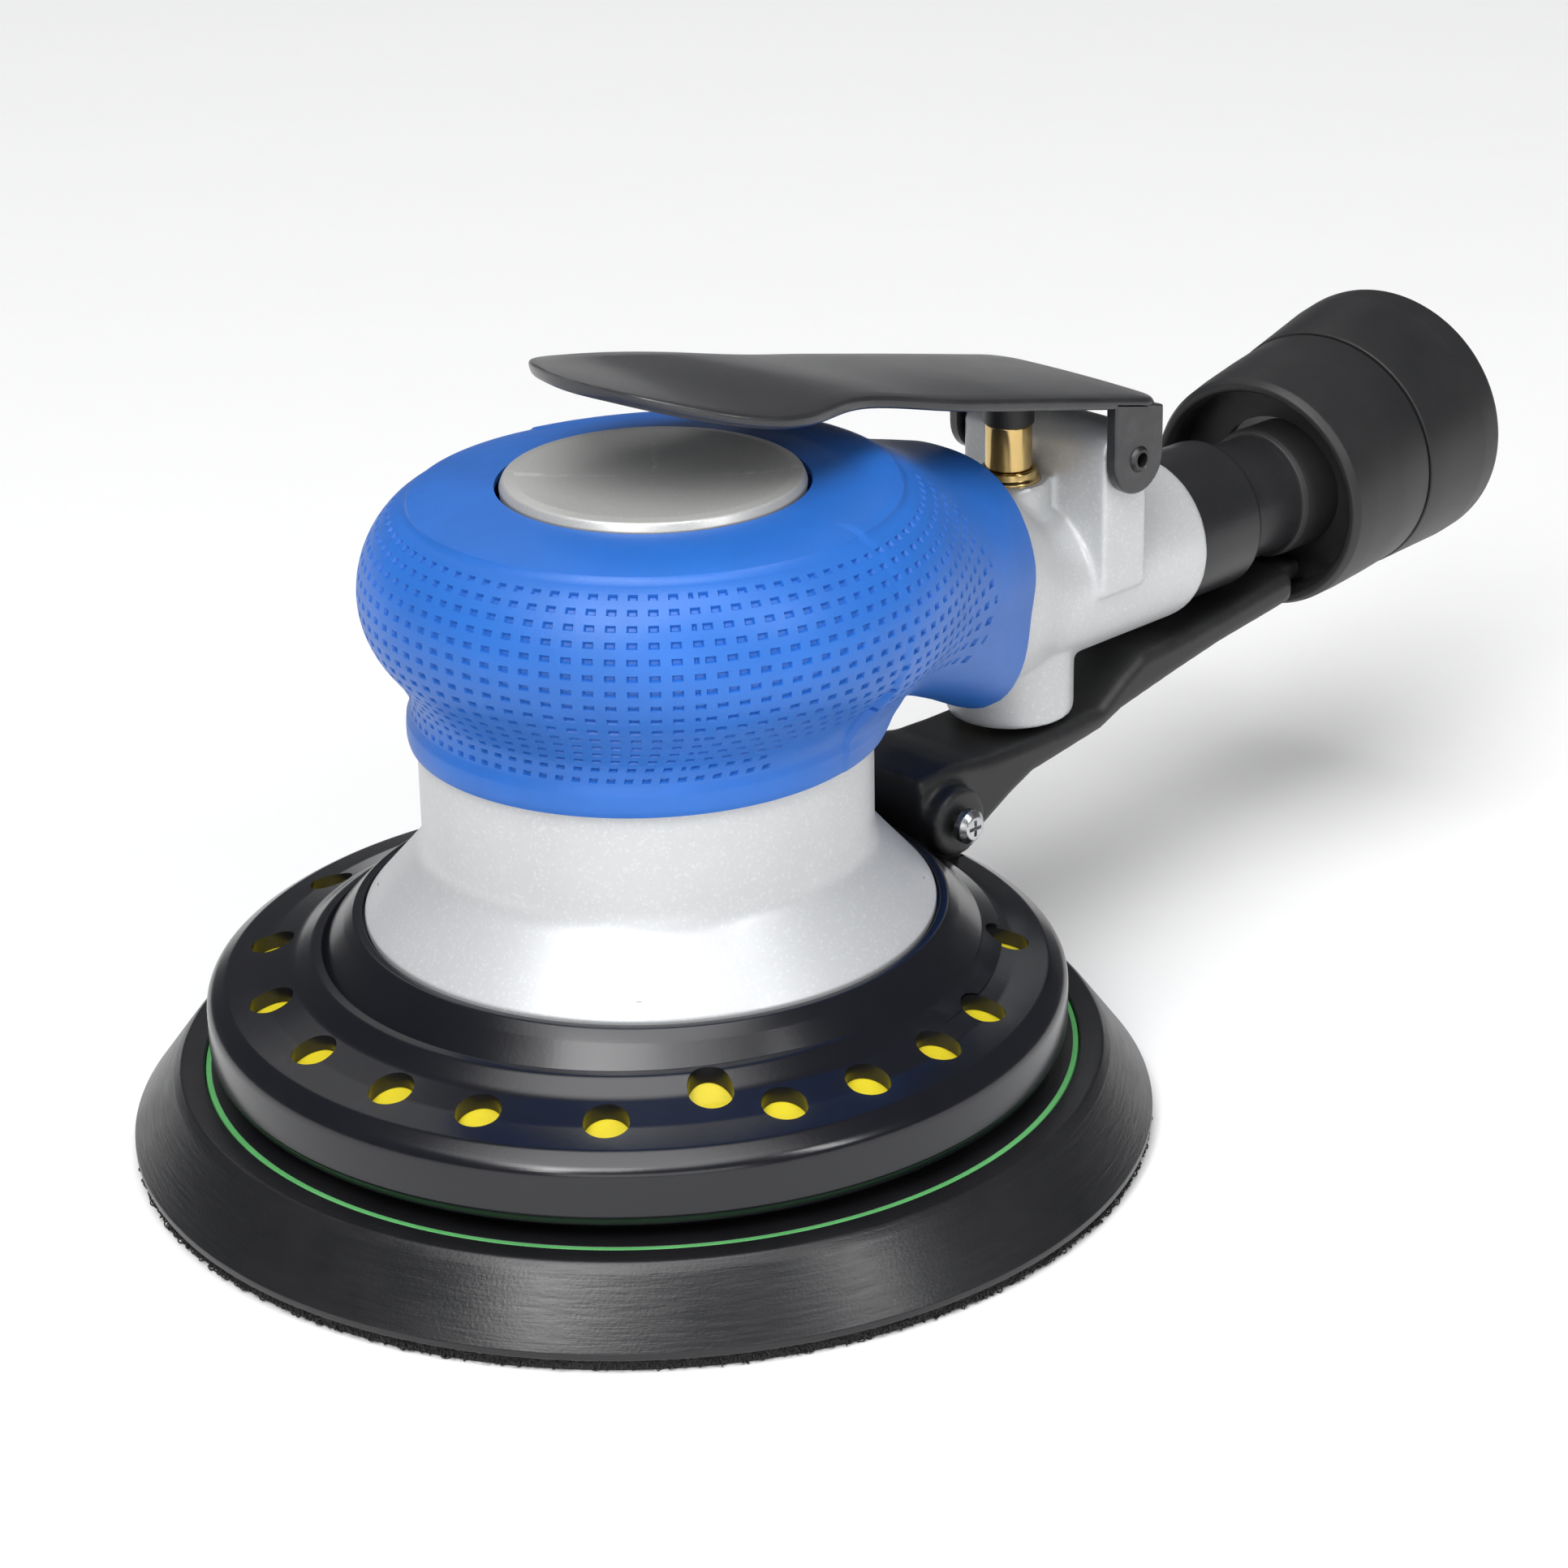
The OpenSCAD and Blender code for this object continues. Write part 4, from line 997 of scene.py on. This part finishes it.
class SANDER_OT_valve(bpy.types.Operator):
    """Builds the brass stem, its collar and cap, and the lever's roll pin"""
    bl_idname = "sander.valve"
    bl_label = "Valve and pin"

    def execute(self, context):
        top = high("valve_stem", 2)
        centre = (STEM_X, 0, 0)
        stem = turned("brass_stem", [(0.2, 60), (STEM_R, 60), (STEM_R, 80.0, 0.1),
            (3.45, 80.3), (3.45, 80.9), (STEM_R, 81.2, 0.1), (STEM_R, top, 0.35),
            (0.2, top)], 64, centre=centre)
        place(stem, "stem", "brass", FINISHES["brass"], "valve_stem")
        cap_top = high("stem_cap", 2)
        cap = turned("stem_cap_button", [(0.2, top), (3.9, top, 0.2), (3.9, cap_top - 1.2, 0.5),
            (2.2, cap_top, 0.6), (0.2, cap_top)], 64, centre=centre)
        place(cap, "stem", "black_plastic", FINISHES["black_plastic"], "stem_cap")
        collar = turned("valve_collar", [(3.64, 74), (4.95, 74), (4.95, 79.5, 0.3), (4.5, 79.9, 0.2),
            (4.4, 81.0, 0.3), (3.64, 81.0, 0.1)], 64, centre=centre)
        place(collar, "housing", "brass", FINISHES["brass"], "valve_bushing")
        half = high("lever_pin", 1)
        pin = turned("roll_pin", [(1.15, -half), (1.6, -half, 0.15), (2.0, -half + 0.6, 0.2),
            (2.0, half - 0.6, 0.2), (1.6, half, 0.15), (1.15, half)], 48,
            centre=(PIN_X, 0, PIN_Z), axis=(0, 1, 0))
        place(pin, "housing", "pin_steel", FINISHES["pin_steel"], "lever_pin")
        return {"FINISHED"}


class SANDER_OT_inlet(bpy.types.Operator):
    """Builds the black air inlet and its sleeve and collar"""
    bl_idname = "sander.inlet"
    bl_label = "Air inlet"

    def execute(self, context):
        along = (1, 0, 0)
        start = low("inlet_sleeve", 0)
        end = high("inlet_sleeve", 0)
        sleeve = turned("inlet_sleeve_ring", [(8.3, 0), (12.2, 0, 0.3), (12.2, end - start, 1.2),
            (8.3, end - start)], 96, centre=(start, 0, TUBE_Z), axis=along)
        place(sleeve, "housing", "inlet_black", FINISHES["inlet_black"], "inlet_sleeve")
        tail = high("inlet_bushing", 0)
        length = tail - end
        bushing = turned("inlet_nose", [(5.7, -6), (8.1, -6), (8.1, 0.4), (9.4, 0.4, 0.2),
            (9.8, 1.0, 0.3), (9.8, length - 0.8, 0.3), (9.2, length, 0.3), (5.7, length, 0.4)],
            96, centre=(end, 0, TUBE_Z), axis=along)
        place(bushing, "housing", "inlet_black", FINISHES["inlet_black"], "inlet_bushing")
        face = low("inlet_collar", 0)
        back = high("inlet_collar", 0)
        collar = turned("inlet_collar_ring", [(9.82, 0), (10.5, 0, 0.3), (10.8, 1, 0.3),
            (10.8, back - face, 0.2), (9.82, back - face)], 96, centre=(face, 0, TUBE_Z), axis=along)
        place(collar, "housing", "seal_rubber", FINISHES["seal_rubber"], "inlet_collar")
        return {"FINISHED"}


class SANDER_OT_dust_path(bpy.types.Operator):
    """Builds the exhaust duct, the hose socket and the swivelling hose cuff"""
    bl_idname = "sander.dust_path"
    bl_label = "Duct and cuff"

    # The duct's lower and upper edges at distances along the handle, in millimetres
    EDGES = [(46.5, 27.4, 40.6, 9.9), (53, 27.0, 41.0, 9.9), (57, 27.2, 40.6, 9.9),
        (61, 28.6, 39.9, 9.9), (67, 31.8, 39.7, 9.9), (72, 34.0, 39.7, 9.9), (80, 35.2, 39.8, 9.9),
        (88, 36.4, 40.4, 9.9), (93, 38.4, 43.8, 9.9), (98, 39.4, 46.4, 9.9),
        (106, 41.0, 46.9, 9.9), (117, 43.0, 48.2, 9.9), (128, 44.4, 49.6, 9.9),
        (134.6, 45.3, 50.4, 9.9), (136, 46.4, 50.0, 6), (141.5, 46.4, 50.0, 6)]

    def ring(self, x, lower, upper, half):
        """A rounded rectangle across the duct."""
        corner = 1.7
        ring = []
        for cy, cz, start in ((half - corner, upper - corner, 0), (corner - half, upper - corner, 90),
                (corner - half, lower + corner, 180), (half - corner, lower + corner, 270)):
            for k in range(5):
                a = math.radians(start + 90 * k / 4)
                ring.append((x, cy + corner * math.cos(a), cz + corner * math.sin(a)))
        return ring

    def execute(self, context):
        duct = lofted("duct_body", [self.ring(*edge) for edge in self.EDGES])
        foot = block("duct_foot", (51, 0, 25), (9.8, 19.6, 9.5), 0.6)
        x, _, z = DUCT_CLAMP
        lobes = [rod("lobe", (x, y, z), (x, y + 3.2, z), 5.5, 0.5) for y in (-13, 9.8)]
        shell = cast(joined("exhaust_duct_shell", duct, foot, *lobes), 0.55, 4)
        back = CUFF_START + CUFF_AXIS * 9.5
        far = CUFF_START + CUFF_AXIS * 40
        cut(shell, rod("socket_room", back, far, 15.5),
            rod("screw_bore", (x, -20, z), (x, 20, z), 1.6, sides=32))
        smooth(shell, 45)
        place(shell, "housing", "cuff_plastic", FINISHES["cuff_plastic"], "exhaust_duct")
        at = CUFF_START
        socket = turned("hose_socket_shell", [(17.2, 7), (17.2, 1.4, 0.5), (17.9, 0.1, 0.5),
            (18.9, 0.1, 0.6), (19.6, 1.4, 1.0), (20.0, 6, 2), (20.4, 14, 2), (20.6, 21.8, 0.3),
            (17.9, 21.8), (17.9, 34), (15.5, 34), (15.5, 9.5), (11.2, 9.5), (11.2, 7)],
            160, centre=at, axis=CUFF_AXIS)
        place(socket, "housing", "cuff_plastic", FINISHES["cuff_plastic"], "hose_socket")
        cuff = turned("hose_cuff_shell", [(17.98, 22.3), (20.8, 22.3, 0.3), (21.3, 28, 3),
            (22.2, 38, 3), (22.3, 43.0, 1.2), (16.5, 43.0, 0.8), (16.5, 34.3), (17.98, 34.3)],
            160, centre=at, axis=CUFF_AXIS)
        place(cuff, "cuff", "cuff_plastic", FINISHES["cuff_plastic"], "hose_cuff")
        self.screw()
        return {"FINISHED"}

    def screw(self):
        """The clamp's silver screw, with a cross recess."""
        head = turned("clamp_screw", [(0.2, 0), (1.5, 0), (1.5, 14), (2.7, 14, 0.1), (2.7, 15.2, 0.3),
            (1.8, 16.0, 0.8), (0.2, 16.1)], 48, centre=DUCT_CLAMP, axis=(0, -1, 0))
        at = (DUCT_CLAMP[0], -16.2, DUCT_CLAMP[2])
        slots = [block("recess", at, size) for size in ((2.6, 1.6, 0.6), (0.6, 1.6, 2.6))]
        cut(head, *slots)
        place(smooth(head), "housing", "steel", FINISHES["steel"], "duct_screw")


class SANDER_OT_frame_finishes(bpy.types.Operator):
    """Gives each CAD node that stays visible its finish"""
    bl_idname = "sander.frame_finishes"
    bl_label = "Frame finishes"

    def execute(self, context):
        for name, node in NODES.items():
            node.data.materials.clear()
            node.data.materials.append(FINISHES[slot_of(name)])
        return {"FINISHED"}


class SANDER_OT_stage(bpy.types.Operator):
    """Sets the pale floor, the soft lights and the camera"""
    bl_idname = "sander.stage"
    bl_label = "Stage"

    def execute(self, context):
        given = context.scene.sander_stage
        self.floor()
        self.world(given.fill)
        for name, spot, target, size, power in (
                ("key", (-0.75, -0.35, 0.95), (0, 0, 0.04), (0.6, 0.5), given.key_power),
                ("left_strip", (-0.81, -0.34, 0.66), (0, 0, 0.02), (0.14, 0.5), 2.4),
                ("right_strip", (0.12, -0.90, 0.66), (0, 0, 0.02), (0.16, 0.5), 2.8),
                ("front_bar", (-0.70, -0.80, 0.25), (0, 0, 0.05), (0.9, 0.3), 1.8),
                ("back", (0.5, 0.8, 0.9), (0.05, 0, 0.06), (0.8, 0.5), 0.8)):
            self.light(name, spot, target, size, power)
        self.camera(given.lens)
        context.scene.view_settings.view_transform = "Standard"
        return {"FINISHED"}

    def floor(self):
        """The pale floor, which isn't part of the object."""
        deselect()
        bpy.ops.mesh.primitive_grid_add(x_subdivisions=8, y_subdivisions=8, size=12)
        floor = named("pale_floor")
        floor.data.materials.append(finish("floor_paper", (0.93, 0.93, 0.92), (0.92, 0.92, 0.91),
            0.6, spread=0.02, grain=120, bump=0.02))

    def world(self, strength):
        """A dim room with a wide soft light overhead."""
        world = bpy.data.worlds.new("soft_room")
        world.use_nodes = True
        tree = world.node_tree
        toward = node_of(tree, "ShaderNodeVectorMath", operation="DOT_PRODUCT")
        link(tree, node_of(tree, "ShaderNodeTexCoord").outputs["Generated"], toward.inputs[0])
        toward.inputs[1].default_value = Vector((-0.26, -0.16, 0.95)).normalized()
        overhead = ramp(tree, toward.outputs["Value"], 0.84, 0.96)
        tint = blended(tree, overhead, (0.11, 0.112, 0.118), (4.0, 4.0, 4.04))
        link(tree, tint, tree.nodes["Background"].inputs["Color"])
        tree.nodes["Background"].inputs["Strength"].default_value = strength
        bpy.context.scene.world = world

    def light(self, name, spot, target, size, power):
        """A soft rectangular light aimed at a target, in metres."""
        data = bpy.data.lights.new(name, "AREA")
        data.shape = "RECTANGLE"
        data.size, data.size_y = size
        data.energy = power
        lamp = bpy.data.objects.new(name, data)
        lamp.location = spot
        lamp.rotation_euler = (Vector(target) - Vector(spot)).to_track_quat("-Z", "Y").to_euler()
        bpy.context.scene.collection.objects.link(lamp)

    def camera(self, lens):
        """The camera in front of the pad, to the handle's right."""
        data = bpy.data.cameras.new("camera")
        data.sensor_width = 36
        data.lens = lens
        camera = bpy.data.objects.new("camera", data)
        yaw, pitch, roll = math.radians(-44.0), math.radians(23.06), math.radians(-1.1)
        camera.rotation_euler = (Matrix.Rotation(yaw, 3, "Z")
            @ Matrix.Rotation(math.pi / 2 - pitch, 3, "X") @ Matrix.Rotation(roll, 3, "Z")).to_euler()
        camera.location = (-0.3598, -0.4009, 0.2806)
        bpy.context.scene.collection.objects.link(camera)
        bpy.context.scene.camera = camera


class SANDER_PT_panel(bpy.types.Panel):
    """Lists the sander's pieces"""
    bl_label = "Palm sander"
    bl_idname = "SANDER_PT_panel"
    bl_space_type = "VIEW_3D"
    bl_region_type = "UI"
    bl_category = "Sander"

    def draw(self, context):
        for operator in OPERATORS:
            self.layout.operator(operator.bl_idname)
        for group in (context.scene.sander_finish, context.scene.sander_grip,
                context.scene.sander_stage):
            for name in group.bl_rna.properties.keys():
                if name not in ("rna_type", "name"):
                    self.layout.prop(group, name)


GROUPS = (SanderFinish, SanderGrip, SanderStage)
OPERATORS = (SANDER_OT_stage, SANDER_OT_frame_finishes, SANDER_OT_pad, SANDER_OT_shroud,
    SANDER_OT_housing, SANDER_OT_grip, SANDER_OT_cap, SANDER_OT_lever, SANDER_OT_valve,
    SANDER_OT_inlet, SANDER_OT_dust_path)


def register():
    """Registers the classes and hangs the settings on the scene."""
    for made in GROUPS + OPERATORS + (SANDER_PT_panel,):
        bpy.utils.register_class(made)
    bpy.types.Scene.sander_finish = PointerProperty(type=SanderFinish)
    bpy.types.Scene.sander_grip = PointerProperty(type=SanderGrip)
    bpy.types.Scene.sander_stage = PointerProperty(type=SanderStage)


def unregister():
    """Takes the settings and classes away again."""
    del bpy.types.Scene.sander_stage
    del bpy.types.Scene.sander_grip
    del bpy.types.Scene.sander_finish
    for made in reversed(GROUPS + OPERATORS + (SANDER_PT_panel,)):
        bpy.utils.unregister_class(made)


def main():
    """Builds every piece in order."""
    register()
    FINISHES.update(make_finishes())
    for operator in OPERATORS:
        group, name = operator.bl_idname.split(".")
        getattr(getattr(bpy.ops, group), name)()


if __name__ == "__main__":
    main()
